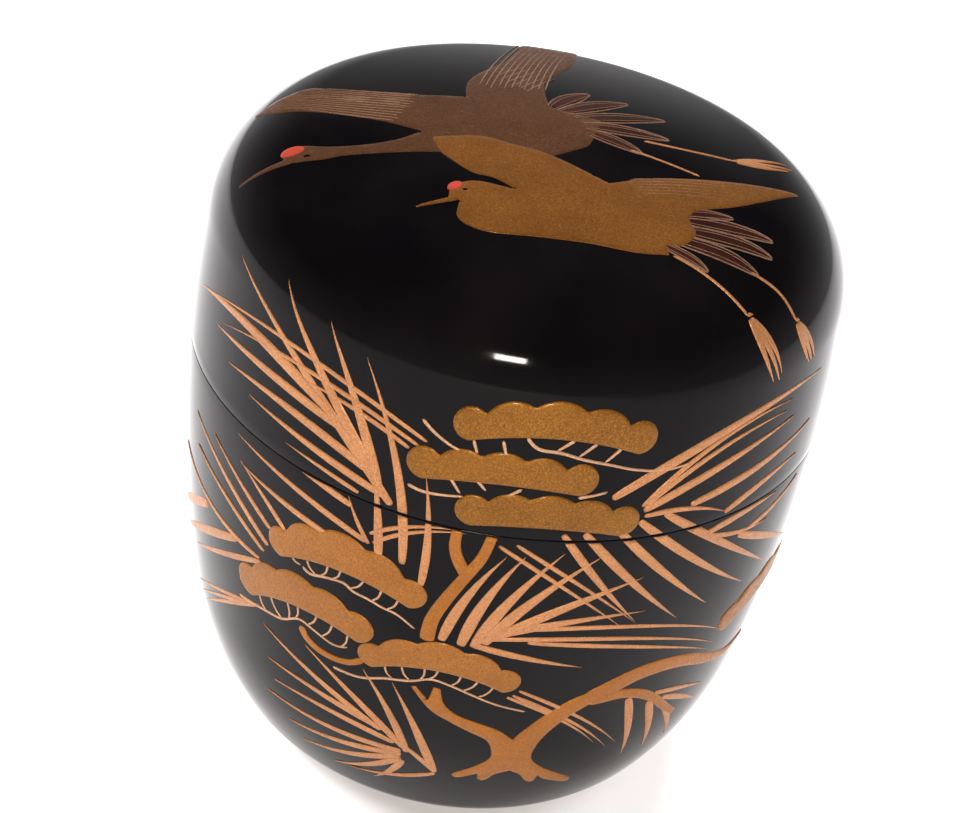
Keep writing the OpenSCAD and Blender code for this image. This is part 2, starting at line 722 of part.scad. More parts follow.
module body_long_stems()
    color(leaf_gold) {
        body_leaves(long_stem_list, 14);
        body_leaves(left_stem_list, -28);
    }

module body_back_leaf_spray()
    color(leaf_gold)
        body_leaves(back_spray_list, 100);

module lid_pine_clumps()
    color(gold)
        on_lid_wall(4)
            clumps(seen_clumps(lid_clump_list, 4));

module lid_clump_twigs()
    color(gold)
        on_lid_wall(5)
            twigs(seen_all(lid_twig_list, 5));

module lid_leaf_spray_left()
    color(leaf_gold)
        lid_leaves(left_spray_list, -18);

module lid_leaf_spray_right()
    color(leaf_gold)
        lid_leaves(right_spray_list, 22);

module crowns()
    for (c = crown_list)
        translate(plan(c[0]))
            circle(c[1]);

module crane(outline)
    on_lid_top()
        difference() {
            polygon([for (p = outline) plan(p)]);
            crowns();
        }

module crane_front()
    color(gold)
        crane(front_crane_outline);

module crane_rear()
    color(gold)
        crane(rear_crane_outline);

module crane_crowns()
    color(red)
        on_lid_top()
            crowns();

module crane_tail_feathers()
    color(feather_brown)
        on_lid_top()
            difference() {
                leaves([for (s = feather_list) [plan(s[0]), plan(s[1]), s[2], s[3]]]);
                polygon([for (p = front_crane_outline) plan(p)]);
                polygon([for (p = rear_crane_outline) plan(p)]);
            }

module crane_legs()
    color(leaf_gold)
        on_lid_top()
            for (s = leg_list)
                strip([for (p = s[0]) plan(p)], s[1], s[2]);

body_wood_core();
body_outer_lacquer();
body_inner_lacquer();
body_foot_lacquer();
body_pine_trunk();
body_upper_branch();
body_right_branch();
body_pine_clumps();
body_clump_twigs();
body_leaf_spray_centre();
body_leaf_spray_left();
body_leaf_spray_low_left();
body_leaf_spray_right();
body_leaf_spray_low_right();
body_leaf_spray_seam();
body_long_stems();
body_back_pine();
body_back_leaf_spray();
lid_wood_core();
lid_outer_lacquer();
lid_inner_lacquer();
lid_pine_clumps();
lid_clump_twigs();
lid_leaf_spray_left();
lid_leaf_spray_right();
crane_front();
crane_rear();
crane_crowns();
crane_tail_feathers();
crane_legs();
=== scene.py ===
import math
import random

import bmesh
import bpy
from mathutils import Matrix, Vector
from mathutils.geometry import delaunay_2d_cdt


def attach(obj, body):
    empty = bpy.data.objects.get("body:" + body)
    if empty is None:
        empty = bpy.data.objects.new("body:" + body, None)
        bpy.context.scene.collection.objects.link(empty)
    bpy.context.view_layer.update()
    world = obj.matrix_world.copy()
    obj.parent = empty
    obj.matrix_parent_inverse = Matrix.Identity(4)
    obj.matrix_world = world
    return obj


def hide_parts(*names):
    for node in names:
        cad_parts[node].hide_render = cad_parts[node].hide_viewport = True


# Lacquered tea caddy. Sizes and drawings are in millimetres, as in the CAD part. Each point
# is turned into metres as it is placed. The room, lamps and camera are in metres.
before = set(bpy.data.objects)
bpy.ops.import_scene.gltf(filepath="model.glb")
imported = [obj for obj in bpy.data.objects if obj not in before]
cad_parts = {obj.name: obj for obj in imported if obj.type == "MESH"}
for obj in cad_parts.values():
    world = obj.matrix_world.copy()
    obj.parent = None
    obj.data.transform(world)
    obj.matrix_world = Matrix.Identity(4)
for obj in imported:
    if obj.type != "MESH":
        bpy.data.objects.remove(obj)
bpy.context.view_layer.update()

MM = 0.001

MAX_R = 32.7
SEAM_Z = 45.3
COAT = 0.4
INNER_COAT = 0.3
HOLLOW_R = 28.4
LIP_R = 30.15
LIP_TOP = SEAM_Z + 7.5
LID_R = 30.3
LID_ROUND_Z = 55
RECESS_R = 18.8
RECESS_DEPTH = 0.8
RIM_ROUND = 0.14
SEAM_MARGIN = 0.2
TURN_STEPS = 288

# The profiles: chains of tangent arcs, each (radius, lean of the normal at its end)
SIDE_UP = [(136, 9), (10.6, 81)]
SIDE_DOWN = [(180, 6), (45, 24), (7.5, 90)]
HOLLOW_DOWN = [(175.7, 6), (20, 34), (12, 90)]
LID_HOLLOW_UP = [(30, 2), (9, 81)]
FLAT_ARC_R = 60

# How far the gold stays from the joint, above it and below it
SEAM_CLEAR = 0.2

# Heights over the lacquer. A piece starts at ROOT, just under the lacquer's surface. The
# other heights differ a little, so that one piece is on top where two of them cross.
ROOT = -0.06
LEAF_HEIGHT = 0.065
LEAF_STEP = 0.005
CLUMP_HEIGHT = 0.14
TRUNK_HEIGHT = 0.11
BRANCH_HEIGHT = 0.1
BRANCH_STEP = 0.004
UPPER_BRANCH_HEIGHT = 0.105
LID_TWIG_HEIGHT = 0.08
BODY_TWIG_HEIGHT = 0.085
TICK_HEIGHT = 0.078
REAR_CRANE_HEIGHT = 0.07
FRONT_CRANE_HEIGHT = 0.1
STROKE_HEIGHT = 0.108
CROWN_HEIGHT = 0.13
EYE_HEIGHT = 0.15
FEATHER_HEIGHT = 0.04
FEATHER_STEP = 0.005
FEATHER_LINE_HEIGHT = 0.07
FEATHER_LINE_STEP = 0.003
LEG_HEIGHT = 0.085
TOE_STEP = 0.006
HIND_TOE_HEIGHT = 0.08

# Widths: at the start and at the end of a line
TWIG_WIDTHS = (0.32, 0.2)
TICK_WIDTHS = (0.22, 0.17)


# ------------------------------------------------------------------ turned profiles

def chain(arcs, r):
    """Each arc as (centre x, centre y, radius, first lean, last lean), from (r, 0) on."""
    found = []
    x, y, lean = r, 0.0, 0.0
    for radius, end in arcs:
        cx = x - radius * math.cos(math.radians(lean))
        cy = y - radius * math.sin(math.radians(lean))
        found.append((cx, cy, radius, lean, end))
        x = cx + radius * math.cos(math.radians(end))
        y = cy + radius * math.sin(math.radians(end))
        lean = end
    return found


def arc_point(arc, lean, out=0.0):
    cx, cy, radius = arc[:3]
    a = math.radians(lean)
    return cx + (radius + out) * math.cos(a), cy + (radius + out) * math.sin(a)


UP = chain(SIDE_UP, MAX_R)
DOWN = chain(SIDE_DOWN, MAX_R)
SHOULDER = UP[1]
FOOT_R, WIDEST_Z = arc_point(DOWN[-1], 90)
DOME_LEAN = SIDE_UP[-1][1]
DOME_EDGE = arc_point(SHOULDER, DOME_LEAN)
DOME_TILT = math.radians(90 - DOME_LEAN)
DOME_RADIUS = DOME_EDGE[0] / math.sin(DOME_TILT)
DOME_CENTRE_Z = WIDEST_Z + DOME_EDGE[1] - DOME_RADIUS * math.cos(DOME_TILT)
DOME_REACH = DOME_RADIUS * DOME_TILT


def chain_points(arcs, base_z, way, out=0.0, step=1.5):
    """Points along a chain of arcs from its start. way is 1 going up, -1 going down.

    step is in degrees. A flat arc is long for its angle, so it gets finer steps.
    """
    points = []
    for arc in arcs:
        angle = step if arc[2] < FLAT_ARC_R else step / 3
        count = max(3, math.ceil((arc[4] - arc[3]) / angle))
        first = 1 if points else 0
        for k in range(first, count + 1):
            r, z = arc_point(arc, arc[3] + (arc[4] - arc[3]) * k / count, out)
            points.append((r, base_z + way * z))
    return points


def dome_points(edge, centre_z, radius, tilt, count=24):
    """Points from a dome's edge to the axis, without the edge itself."""
    return [(radius * math.sin(tilt * (1 - k / count)),
             centre_z + radius * math.cos(tilt * (1 - k / count))) for k in range(1, count + 1)]


def wall_at(z):
    """Radius, height and lean of the outside at the height z of a wall drawing."""
    up = z >= WIDEST_Z
    rise = abs(z - WIDEST_Z)
    for arc in (UP if up else DOWN):
        lean = math.degrees(math.asin(min(1.0, max(-1.0, (rise - arc[1]) / arc[2]))))
        if lean <= arc[4]:
            break
    return arc[0] + arc[2] * math.cos(math.radians(lean)), z, lean if up else -lean


def top_at(reach):
    """Radius, height and lean of the outside at a distance from the lid's apex."""
    if reach < DOME_REACH:
        a = reach / DOME_RADIUS
        height = DOME_CENTRE_Z + DOME_RADIUS * math.cos(a)
        return DOME_RADIUS * math.sin(a), height, 90 - math.degrees(a)
    lean = DOME_LEAN - math.degrees((reach - DOME_REACH) / SHOULDER[2])
    lean = max(lean, SHOULDER[3])
    r, z = arc_point(SHOULDER, lean)
    return r, WIDEST_Z + z, lean


def on_wall(p):
    """A point of a wall drawing: distance round the wall, height, height over the lacquer."""
    r, z, lean = wall_at(p[1])
    turn = p[0] / MAX_R
    out = r + p[2] * math.cos(math.radians(lean))
    up = z + p[2] * math.sin(math.radians(lean))
    return Vector((out * math.sin(turn), -out * math.cos(turn), up)) * MM


def on_top(p):
    """A point of a lid-top drawing: distance right and back of the apex, along the surface."""
    reach = math.hypot(p[0], p[1])
    r, z, lean = top_at(reach)
    out = r + p[2] * math.cos(math.radians(lean))
    way = (p[0] / reach, p[1] / reach) if reach > 1e-6 else (0.0, 0.0)
    return Vector((out * way[0], out * way[1], z + p[2] * math.sin(math.radians(lean)))) * MM


# ------------------------------------------------------------------ materials

# Real lacquer is at about 1.5. These stand in for the dark room in front of the caddy in the
# photo: with more, the front mirrors the pale floor and turns grey.
LACQUER_IOR = 1.14
GOLD_IOR = 1.2
GRAIN = 6500


def new_material(name):
    material = bpy.data.materials.new(name)
    material.use_nodes = True
    shader = material.node_tree.nodes["Principled BSDF"]
    return material, material.node_tree, shader


def noise(tree, scale, detail, kind="ShaderNodeTexNoise"):
    place = tree.nodes.new("ShaderNodeTexCoord")
    texture = tree.nodes.new(kind)
    texture.inputs["Scale"].default_value = scale
    texture.inputs["Detail"].default_value = detail
    tree.links.new(place.outputs["Object"], texture.inputs["Vector"])
    return texture.outputs[0]


def ramp(tree, value, stops):
    node = tree.nodes.new("ShaderNodeValToRGB")
    elements = node.color_ramp.elements
    while len(elements) < len(stops):
        elements.new(0.5)
    for element, (where, color) in zip(elements, stops):
        element.position = where
        element.color = (*color, 1)
    tree.links.new(value, node.inputs[0])
    return node.outputs[0]


def spread(tree, value, low, high):
    """Takes a noise value, which is mostly from 0.3 to 0.7, to a value from low to high."""
    node = tree.nodes.new("ShaderNodeMapRange")
    node.inputs["From Min"].default_value = 0.3
    node.inputs["From Max"].default_value = 0.7
    node.inputs["To Min"].default_value = low
    node.inputs["To Max"].default_value = high
    tree.links.new(value, node.inputs["Value"])
    return node.outputs[0]


def mixed(tree, share, a, b):
    """Mixes two colours. The colour sockets are inputs 6 and 7 and output 2."""
    node = tree.nodes.new("ShaderNodeMix")
    node.data_type = "RGBA"
    tree.links.new(share, node.inputs[0])
    tree.links.new(a, node.inputs[6])
    tree.links.new(b, node.inputs[7])
    return node.outputs[2]


def bump(tree, shader, height, distance, strength=1.0):
    node = tree.nodes.new("ShaderNodeBump")
    node.inputs["Distance"].default_value = distance
    node.inputs["Strength"].default_value = strength
    tree.links.new(height, node.inputs["Height"])
    tree.links.new(node.outputs[0], shader.inputs["Normal"])


def lacquer(name, dark, pale, smooth, dull):
    """Polished lacquer: faint clouds of tone, wiped smudges and a very fine softness."""
    material, tree, shader = new_material(name)
    tree.links.new(ramp(tree, noise(tree, 70, 4), [(0.35, dark), (0.7, pale)]),
                   shader.inputs["Base Color"])
    tree.links.new(spread(tree, noise(tree, 140, 5), smooth, dull), shader.inputs["Roughness"])
    shader.inputs["IOR"].default_value = LACQUER_IOR
    bump(tree, shader, noise(tree, 900, 3), 0.000004, 0.25)
    return material


def gold_powder(name, deep, middle, bright, metallic, rough):
    """Gold powder sprinkled in lacquer: fine grains over slow drifts of tone."""
    material, tree, shader = new_material(name)
    grains = ramp(tree, noise(tree, GRAIN, 3), [(0.3, deep), (0.5, middle), (0.72, bright)])
    drift = ramp(tree, noise(tree, 160, 3), [(0.3, deep), (0.65, middle)])
    share = spread(tree, noise(tree, 420, 4), 0.15, 0.55)
    tree.links.new(mixed(tree, share, grains, drift), shader.inputs["Base Color"])
    tree.links.new(spread(tree, noise(tree, 2600, 2), rough - 0.08, rough + 0.12),
                   shader.inputs["Roughness"])
    shader.inputs["IOR"].default_value = GOLD_IOR
    shader.inputs["Metallic"].default_value = metallic
    shader.inputs["Coat Weight"].default_value = 0.1
    shader.inputs["Coat Roughness"].default_value = 0.12
    bump(tree, shader, noise(tree, GRAIN * 0.8, 2), 0.00003, 0.5)
    return material


def turned_wood(name):
    material, tree, shader = new_material(name)
    rings = noise(tree, 300, 3, "ShaderNodeTexWave")
    tree.links.new(ramp(tree, rings, [(0.2, (0.42, 0.26, 0.13)), (0.8, (0.6, 0.42, 0.24))]),
                   shader.inputs["Base Color"])
    tree.links.new(spread(tree, noise(tree, 900, 4), 0.5, 0.7), shader.inputs["Roughness"])
    bump(tree, shader, rings, 0.00002)
    return material


def pale_floor(name):
    material, tree, shader = new_material(name)
    tone = ramp(tree, noise(tree, 3, 2), [(0.3, (0.86, 0.84, 0.85)), (0.7, (0.9, 0.88, 0.89))])
    tree.links.new(tone, shader.inputs["Base Color"])
    tree.links.new(spread(tree, noise(tree, 40, 3), 0.7, 0.85), shader.inputs["Roughness"])
    return material


BLACK = lacquer("black_lacquer", (0.0012, 0.001, 0.0012), (0.003, 0.0024, 0.0026), 0.05, 0.10)
INSIDE = lacquer("inside_lacquer", (0.006, 0.004, 0.004), (0.014, 0.010, 0.009), 0.16, 0.26)
UNDER = lacquer("foot_lacquer", (0.006, 0.005, 0.005), (0.016, 0.013, 0.012), 0.14, 0.30)
PINE = gold_powder("pine_gold", (0.065, 0.023, 0.001), (0.125, 0.047, 0.003), (0.23, 0.098, 0.008),
                   0.45, 0.5)
BODY_PINE = gold_powder("body_pine_gold", (0.11, 0.038, 0.004), (0.175, 0.064, 0.008),
                        (0.26, 0.108, 0.018), 0.45, 0.5)
BRANCH = gold_powder("branch_gold", (0.12, 0.038, 0.003), (0.19, 0.064, 0.006),
                     (0.28, 0.108, 0.015), 0.45, 0.5)
TWIG = gold_powder("twig_gold", (0.19, 0.098, 0.050), (0.29, 0.16, 0.090), (0.41, 0.25, 0.15),
                   0.45, 0.45)
LEAF = gold_powder("leaf_gold", (0.17, 0.067, 0.024), (0.27, 0.118, 0.046), (0.41, 0.195, 0.085),
                   0.45, 0.48)
CRANE = gold_powder("crane_gold", (0.055, 0.019, 0.003), (0.100, 0.036, 0.006),
                    (0.18, 0.072, 0.015), 0.4, 0.52)
REAR = gold_powder("rear_crane_gold", (0.022, 0.009, 0.003), (0.044, 0.018, 0.008),
                   (0.088, 0.038, 0.018), 0.3, 0.55)
LINE = gold_powder("line_gold", (0.070, 0.036, 0.021), (0.115, 0.064, 0.040),
                   (0.18, 0.110, 0.072), 0.3, 0.5)
CROWN = lacquer("crown_red", (0.15, 0.018, 0.010), (0.27, 0.036, 0.020), 0.3, 0.45)
FEATHER = lacquer("feather_brown", (0.010, 0.003, 0.002), (0.026, 0.007, 0.005), 0.22, 0.36)
WOOD = turned_wood("turned_wood")


# ------------------------------------------------------------------ meshes

def new_piece(name, bm, material, body, replaced=(), sharp=None):
    """Finishes a bmesh as a piece that rides on a body and stands for CAD nodes."""
    bmesh.ops.remove_doubles(bm, verts=bm.verts, dist=1e-7)
    bmesh.ops.recalc_face_normals(bm, faces=bm.faces)
    mesh = bpy.data.meshes.new(name)
    bm.to_mesh(mesh)
    bm.free()
    for face in mesh.polygons:
        face.use_smooth = True
    if sharp:
        mesh.set_sharp_from_angle(angle=math.radians(sharp))
    mesh.materials.append(material)
    piece = bpy.data.objects.new(name, mesh)
    bpy.context.scene.collection.objects.link(piece)
    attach(piece, body)
    if replaced:
        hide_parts(*replaced)
    return piece


def lathe(section):
    """A closed ring of (radius, height) turned about the axis."""
    bm = bmesh.new()
    rings = []
    for r, z in section:
        if r < 1e-4:
            rings.append([bm.verts.new((0, 0, z * MM))])
            continue
        rings.append([bm.verts.new((r * math.cos(a) * MM, r * math.sin(a) * MM, z * MM))
                      for a in (math.tau * k / TURN_STEPS for k in range(TURN_STEPS))])
    for i, ring in enumerate(rings):
        after = rings[(i + 1) % len(rings)]
        if len(ring) == 1 and len(after) == 1:
            continue
        for k in range(TURN_STEPS):
            n = (k + 1) % TURN_STEPS
            corners = [ring[k % len(ring)], ring[n % len(ring)],
                       after[n % len(after)], after[k % len(after)]]
            bm.faces.new(list(dict.fromkeys(corners)))
    return bm


def rounded(angles, centre, steps=5):
    """A rim's round: points on a small circle, from the first angle to the last."""
    cx, cz = centre
    first, last = angles
    points = []
    for k in range(steps + 1):
        a = math.radians(first + (last - first) * k / steps)
        points.append((cx + RIM_ROUND * math.cos(a), cz + RIM_ROUND * math.sin(a)))
    return points


def side_to_seam(out, up):
    """The outside's points above or below the joint, rising, moved outwards by out."""
    clear = COAT + SEAM_MARGIN
    rise = chain_points(UP, WIDEST_Z, 1, out)
    if up:
        return [p for p in rise if p[1] > SEAM_Z + clear]
    low = chain_points(DOWN, WIDEST_Z, -1, out)
    return low[:0:-1] + [p for p in rise if p[1] < SEAM_Z - clear]


def outer_dome(out):
    """Points of the lid's top, from its edge to the axis, moved outwards by out."""
    return dome_points(DOME_EDGE, DOME_CENTRE_Z, DOME_RADIUS + out, DOME_TILT)


def body_outer_section():
    seam_r = wall_at(SEAM_Z)[0]
    rim = rounded((0, 90), (seam_r - RIM_ROUND, SEAM_Z - RIM_ROUND))
    ledge = [(LIP_R, SEAM_Z), (LIP_R, SEAM_Z - COAT), (seam_r - COAT, SEAM_Z - COAT)]
    return side_to_seam(0, False) + rim + ledge + side_to_seam(-COAT, False)[::-1]


def lid_outer_section():
    seam_r = wall_at(SEAM_Z)[0]
    rim = rounded((-90, 0), (seam_r - RIM_ROUND, SEAM_Z + RIM_ROUND))
    foot = [(seam_r - COAT, SEAM_Z + COAT), (LID_R, SEAM_Z + COAT), (LID_R, SEAM_Z)]
    inner = side_to_seam(-COAT, True) + outer_dome(-COAT)
    return foot + rim + side_to_seam(0, True) + outer_dome(0) + inner[::-1]


def body_inner_section():
    hollow = chain(HOLLOW_DOWN, HOLLOW_R)
    inside = chain_points(hollow, WIDEST_Z, -1)
    behind = chain_points(hollow, WIDEST_Z, -1, INNER_COAT)
    lip = rounded((180, 90), (HOLLOW_R + RIM_ROUND, LIP_TOP - RIM_ROUND))
    lip += rounded((90, 0), (LIP_R - RIM_ROUND, LIP_TOP - RIM_ROUND))
    back = [(LIP_R, SEAM_Z - COAT), (LIP_R - INNER_COAT, SEAM_Z - COAT),
            (LIP_R - INNER_COAT, LIP_TOP - INNER_COAT), (HOLLOW_R + INNER_COAT, LIP_TOP - INNER_COAT)]
    return [(0, inside[-1][1])] + inside[::-1] + lip + back + behind + [(0, behind[-1][1])]


def lid_inner_section():
    hollow = chain(LID_HOLLOW_UP, LID_R)
    edge = arc_point(hollow[-1], hollow[-1][4])
    tilt = math.radians(90 - hollow[-1][4])
    radius = edge[0] / math.sin(tilt)
    centre_z = LID_ROUND_Z + edge[1] - radius * math.cos(tilt)
    inside = chain_points(hollow, LID_ROUND_Z, 1) + dome_points(edge, centre_z, radius, tilt)
    behind = chain_points(hollow, LID_ROUND_Z, 1, INNER_COAT)
    behind += dome_points(edge, centre_z, radius + INNER_COAT, tilt)
    foot_z = SEAM_Z + COAT
    return [(LID_R, foot_z)] + inside + behind[::-1] + [(LID_R + INNER_COAT, foot_z)]


def foot_section():
    under = RECESS_DEPTH + COAT
    wear = 0.12
    return [(0, RECESS_DEPTH), (RECESS_R, RECESS_DEPTH), (RECESS_R, wear), (RECESS_R + wear, 0),
            (FOOT_R, 0), (FOOT_R, COAT), (RECESS_R + COAT, COAT), (RECESS_R + COAT, under), (0, under)]


def make_turned_pieces():
    rows = [
        ("body_lacquer", body_outer_section(), BLACK, "caddy_body", "black_lacquer", "body_outer_lacquer"),
        ("lid_lacquer", lid_outer_section(), BLACK, "lid", "black_lacquer", "lid_outer_lacquer"),
        ("body_inside", body_inner_section(), INSIDE, "caddy_body", "inner_lacquer", "body_inner_lacquer"),
        ("lid_inside", lid_inner_section(), INSIDE, "lid", "inner_lacquer", "lid_inner_lacquer"),
        ("foot_ring", foot_section(), UNDER, "caddy_body", "foot_lacquer", "body_foot_lacquer"),
    ]
    for name, section, material, body, slot, node in rows:
        new_piece(name, lathe(section), material, body, [node], sharp=40)


# ------------------------------------------------------------------ flat drawings

def grid_solid(bm, rows):
    """A closed thin solid from rows of (x, y, height). The border drops to the root."""
    last_i = len(rows) - 1
    last_j = len(rows[0]) - 1
    top = []
    low = []
    for i, row in enumerate(rows):
        top.append([])
        low.append([])
        for j, (x, y, h) in enumerate(row):
            border = i in (0, last_i) or j in (0, last_j)
            v = bm.verts.new((x, y, ROOT if border else h))
            top[i].append(v)
            low[i].append(v if border else bm.verts.new((x, y, ROOT)))
    for i in range(last_i):
        for j in range(last_j):
            for grid, flip in ((top, 1), (low, -1)):
                corners = [grid[i][j], grid[i + 1][j], grid[i + 1][j + 1], grid[i][j + 1]]
                bm.faces.new(corners[::flip])


# A ribbon's section: places across it, in half widths, and the share of its height there
ACROSS = [-1.08, -0.96, -0.5, 0.0, 0.5, 0.96, 1.08]
RIDGE = [0.0, 0.6, 0.94, 1.0, 0.94, 0.6, 0.0]


def ribbon(bm, line, height):
    """A raised line. line is a list of (point, direction, half width)."""
    rows = []
    for p, way, half in line:
        side = Vector((-way.y, way.x))
        rows.append([(p.x + side.x * half * a, p.y + side.y * half * a, height * k)
                     for a, k in zip(ACROSS, RIDGE)])
    grid_solid(bm, rows)


def fullness(t):
    """Share of a leaf's full width at t along it: broad near its foot, fine at its tip."""
    return max(0.03, 0.56 + 0.69 * math.sin(math.pi * t ** 0.6) - 0.56 * t)


def feather_fullness(t):
    """The same for a tail feather: a lens with a blunt foot."""
    return max(0.04, math.sin(math.pi * (0.12 + 0.88 * t)) ** 0.7)


def leaf_line(spec, steps=26, share=fullness):
    """A leaf's middle line, bowed sideways, as a list for ribbon."""
    a, b, bow, width = Vector(spec[0]), Vector(spec[1]), spec[2], spec[3]
    way = (b - a).normalized()
    m = (a + b) / 2 + 2 * bow * Vector((-way.y, way.x))
    line = []
    for k in range(steps + 1):
        t = k / steps
        p = (1 - t) ** 2 * a + 2 * t * (1 - t) * m + t * t * b
        d = ((1 - t) * (m - a) + t * (b - m)).normalized()
        line.append((p, d, width / 2 * share(t)))
    return line


def smooth_path(points, step=0.5):
    """A Catmull-Rom curve through the points, at about one point per step."""
    pts = [Vector(p) for p in points]
    pts = [2 * pts[0] - pts[1]] + pts + [2 * pts[-1] - pts[-2]]
    found = []
    for p0, p1, p2, p3 in zip(pts, pts[1:], pts[2:], pts[3:]):
        count = max(2, math.ceil((p2 - p1).length / step))
        for k in range(count):
            t = k / count
            found.append(0.5 * (2 * p1 + (p2 - p0) * t + (2 * p0 - 5 * p1 + 4 * p2 - p3) * t * t
                                + (3 * p1 - p0 - 3 * p2 + p3) * t ** 3))
    return found + [pts[-2]]


def path_line(points, w0, w1, step=0.5):
    """A strip along points, from width w0 to w1, with rounded ends."""
    path = smooth_path(points, step)
    last = len(path) - 1
    reach = [0.0]
    for a, b in zip(path, path[1:]):
        reach.append(reach[-1] + (b - a).length)
    line = []
    for i, p in enumerate(path):
        way = (path[min(i + 1, last)] - path[max(i - 1, 0)]).normalized()
        half = (w0 + (w1 - w0) * reach[i] / reach[-1]) / 2
        end = min(reach[i], reach[-1] - reach[i])
        round_end = math.sqrt(max(0.02, 1 - (1 - min(1, end / max(half, 0.01))) ** 2))
        line.append((p, way, half * round_end))
    return line


# A clump's scallops, its rounded rim and the creases between its lobes
LOBES = 5
LOBE_DROP = 0.8
CLUMP_RIM = 0.45
CREASE_DEPTH = 0.25
CREASE_WIDTH = 0.25


def clump_rows(spec, columns=90, bands=14):
    """A cushion of pine needles: a scalloped top over a hollowed underside."""
    a, b, rise, r0, r1, under_rise = Vector(spec[0]), Vector(spec[1]), *spec[2:]
    span = (b - a).length
    under_r = (span * span / 4 + under_rise ** 2) / (2 * under_rise)
    lobes = []
    for i in range(LOBES):
        swell = math.sin(math.pi * i / (LOBES - 1))
        drop = LOBE_DROP * swell
        lobes.append((span * i / (LOBES - 1), rise * swell - drop, r0 + (r1 - r0) * swell + drop))
    way = (b - a).normalized()
    side = Vector((-way.y, way.x))
    rows = []
    for c in range(columns + 1):
        x = -r0 + (span + 2 * r0) * (1 - math.cos(math.pi * c / columns)) / 2
        tops = sorted(cy + math.sqrt(max(0.0, r * r - (x - cx) ** 2))
                      for cx, cy, r in lobes if abs(x - cx) <= r + 1e-6)
        upper = tops[-1]
        second = tops[-2] if len(tops) > 1 else -math.inf
        if 0 <= x <= span:
            lower = under_rise - r0 - under_r + math.sqrt(under_r ** 2 - (x - span / 2) ** 2)
        else:
            near = 0.0 if x < 0 else span
            lower = -math.sqrt(max(0.0, r0 * r0 - (x - near) ** 2))
        row = []
        for k in range(bands + 1):
            t = (1 - math.cos(math.pi * k / bands)) / 2
            y = lower + (upper - lower) * t
            edge = min(y - lower, upper - y, x + r0, span + r0 - x)
            full = 1 - (1 - min(1.0, edge / CLUMP_RIM)) ** 2
            crease = CREASE_DEPTH * math.exp(-((upper - second) / CREASE_WIDTH) ** 2) * t ** 3
            p = a + way * x + side * y
            row.append((p.x, p.y, CLUMP_HEIGHT * full * (1 - crease)))
        rows.append(row)
    return rows


# An outline that turns by more than this many degrees at a point has a corner there
CORNER_TURN = 48


def turn_of(a, b, c):
    """The turn at b of a path from a to c, in radians."""
    return abs((b - a).angle_signed(c - b, 0)) if (b - a).length and (c - b).length else 0


def outline_path(points, step=0.45):
    """A closed outline: curved through its points, and kept sharp where it turns sharply."""
    pts = [Vector(p) for p in points]
    n = len(pts)
    sharp = math.radians(CORNER_TURN)
    corners = [i for i in range(n) if turn_of(pts[i - 1], pts[i], pts[(i + 1) % n]) > sharp]
    found = []
    for i, first in enumerate(corners):
        last = corners[(i + 1) % len(corners)]
        count = (last - first) % n or n
        found += smooth_path([pts[(first + k) % n] for k in range(count + 1)], step)[:-1]
    return found


def edge_distance(p, loop):
    """The distance from p to the nearest side of a closed loop."""
    best = 1e9
    for a, b in zip(loop, loop[1:] + loop[:1]):
        d = b - a
        t = max(0.0, min(1.0, (p - a).dot(d) / max(d.length_squared, 1e-12)))
        best = min(best, (a + t * d - p).length_squared)
    return math.sqrt(best)


def inside(p, loop):
    """Whether p is within a closed loop, by counting the sides that a ray from it crosses."""
    hit = False
    for a, b in zip(loop, loop[1:] + loop[:1]):
        if (a.y > p.y) != (b.y > p.y) and p.x < a.x + (p.y - a.y) / (b.y - a.y) * (b.x - a.x):
            hit = not hit
    return hit


def filled_shape(bm, points, height, rim=0.3, step=0.6):
    """A thin raised shape inside an outline, with a rounded rim.

    Its points are the outline, a row beside it and a grid of near-equal triangles inside.
    A triangle that has all its corners on the outline is a single face, under the lacquer.
    """
    loop = outline_path(points)
    low = Vector((min(p.x for p in loop), min(p.y for p in loop)))
    high = Vector((max(p.x for p in loop), max(p.y for p in loop)))
    seeds = list(loop)
    y = low.y
    row = 0
    while y < high.y:
        x = low.x + (step / 2 if row % 2 else 0)
        while x < high.x:
            p = Vector((x, y))
            if inside(p, loop) and edge_distance(p, loop) > rim * 0.9:
                seeds.append(p)
            x += step
        y += step * 0.87
        row += 1
    for i, p in enumerate(loop):
        way = (loop[(i + 1) % len(loop)] - loop[i - 1]).normalized()
        for side in (1, -1):
            q = p + side * rim * 0.5 * Vector((-way.y, way.x))
            if inside(q, loop) and edge_distance(q, loop) > rim * 0.4:
                seeds.append(q)
    border = [(i, (i + 1) % len(loop)) for i in range(len(loop))]
    verts, _, faces, _, _, _ = delaunay_2d_cdt(seeds, border, [], 1, 1e-5)
    top = []
    under = []
    for p in verts:
        d = edge_distance(p, loop)
        full = 1 - (1 - min(1.0, d / rim)) ** 2
        on_edge = d < 1e-4
        v = bm.verts.new((p.x, p.y, ROOT if on_edge else height * full))
        top.append(v)
        under.append(v if on_edge else bm.verts.new((p.x, p.y, ROOT)))
    for face in faces:
        bm.faces.new([top[i] for i in face])
        below = [under[i] for i in reversed(face)]
        if bm.faces.get(below) is None:
            bm.faces.new(below)


def cut_at(bm, limit, keep_up):
    """Cuts a wall drawing at the height limit and closes the cut."""
    everything = bm.verts[:] + bm.edges[:] + bm.faces[:]
    bmesh.ops.bisect_plane(bm, geom=everything, dist=1e-6, plane_co=(0, limit, 0),
                           plane_no=(0, 1, 0), clear_inner=keep_up, clear_outer=not keep_up)
    bmesh.ops.holes_fill(bm, edges=[e for e in bm.edges if e.is_boundary], sides=0)


def finish_drawing(name, bm, place, material, body, replaced=()):
    for v in bm.verts:
        v.co = place(v.co)
    return new_piece(name, bm, material, body, replaced)


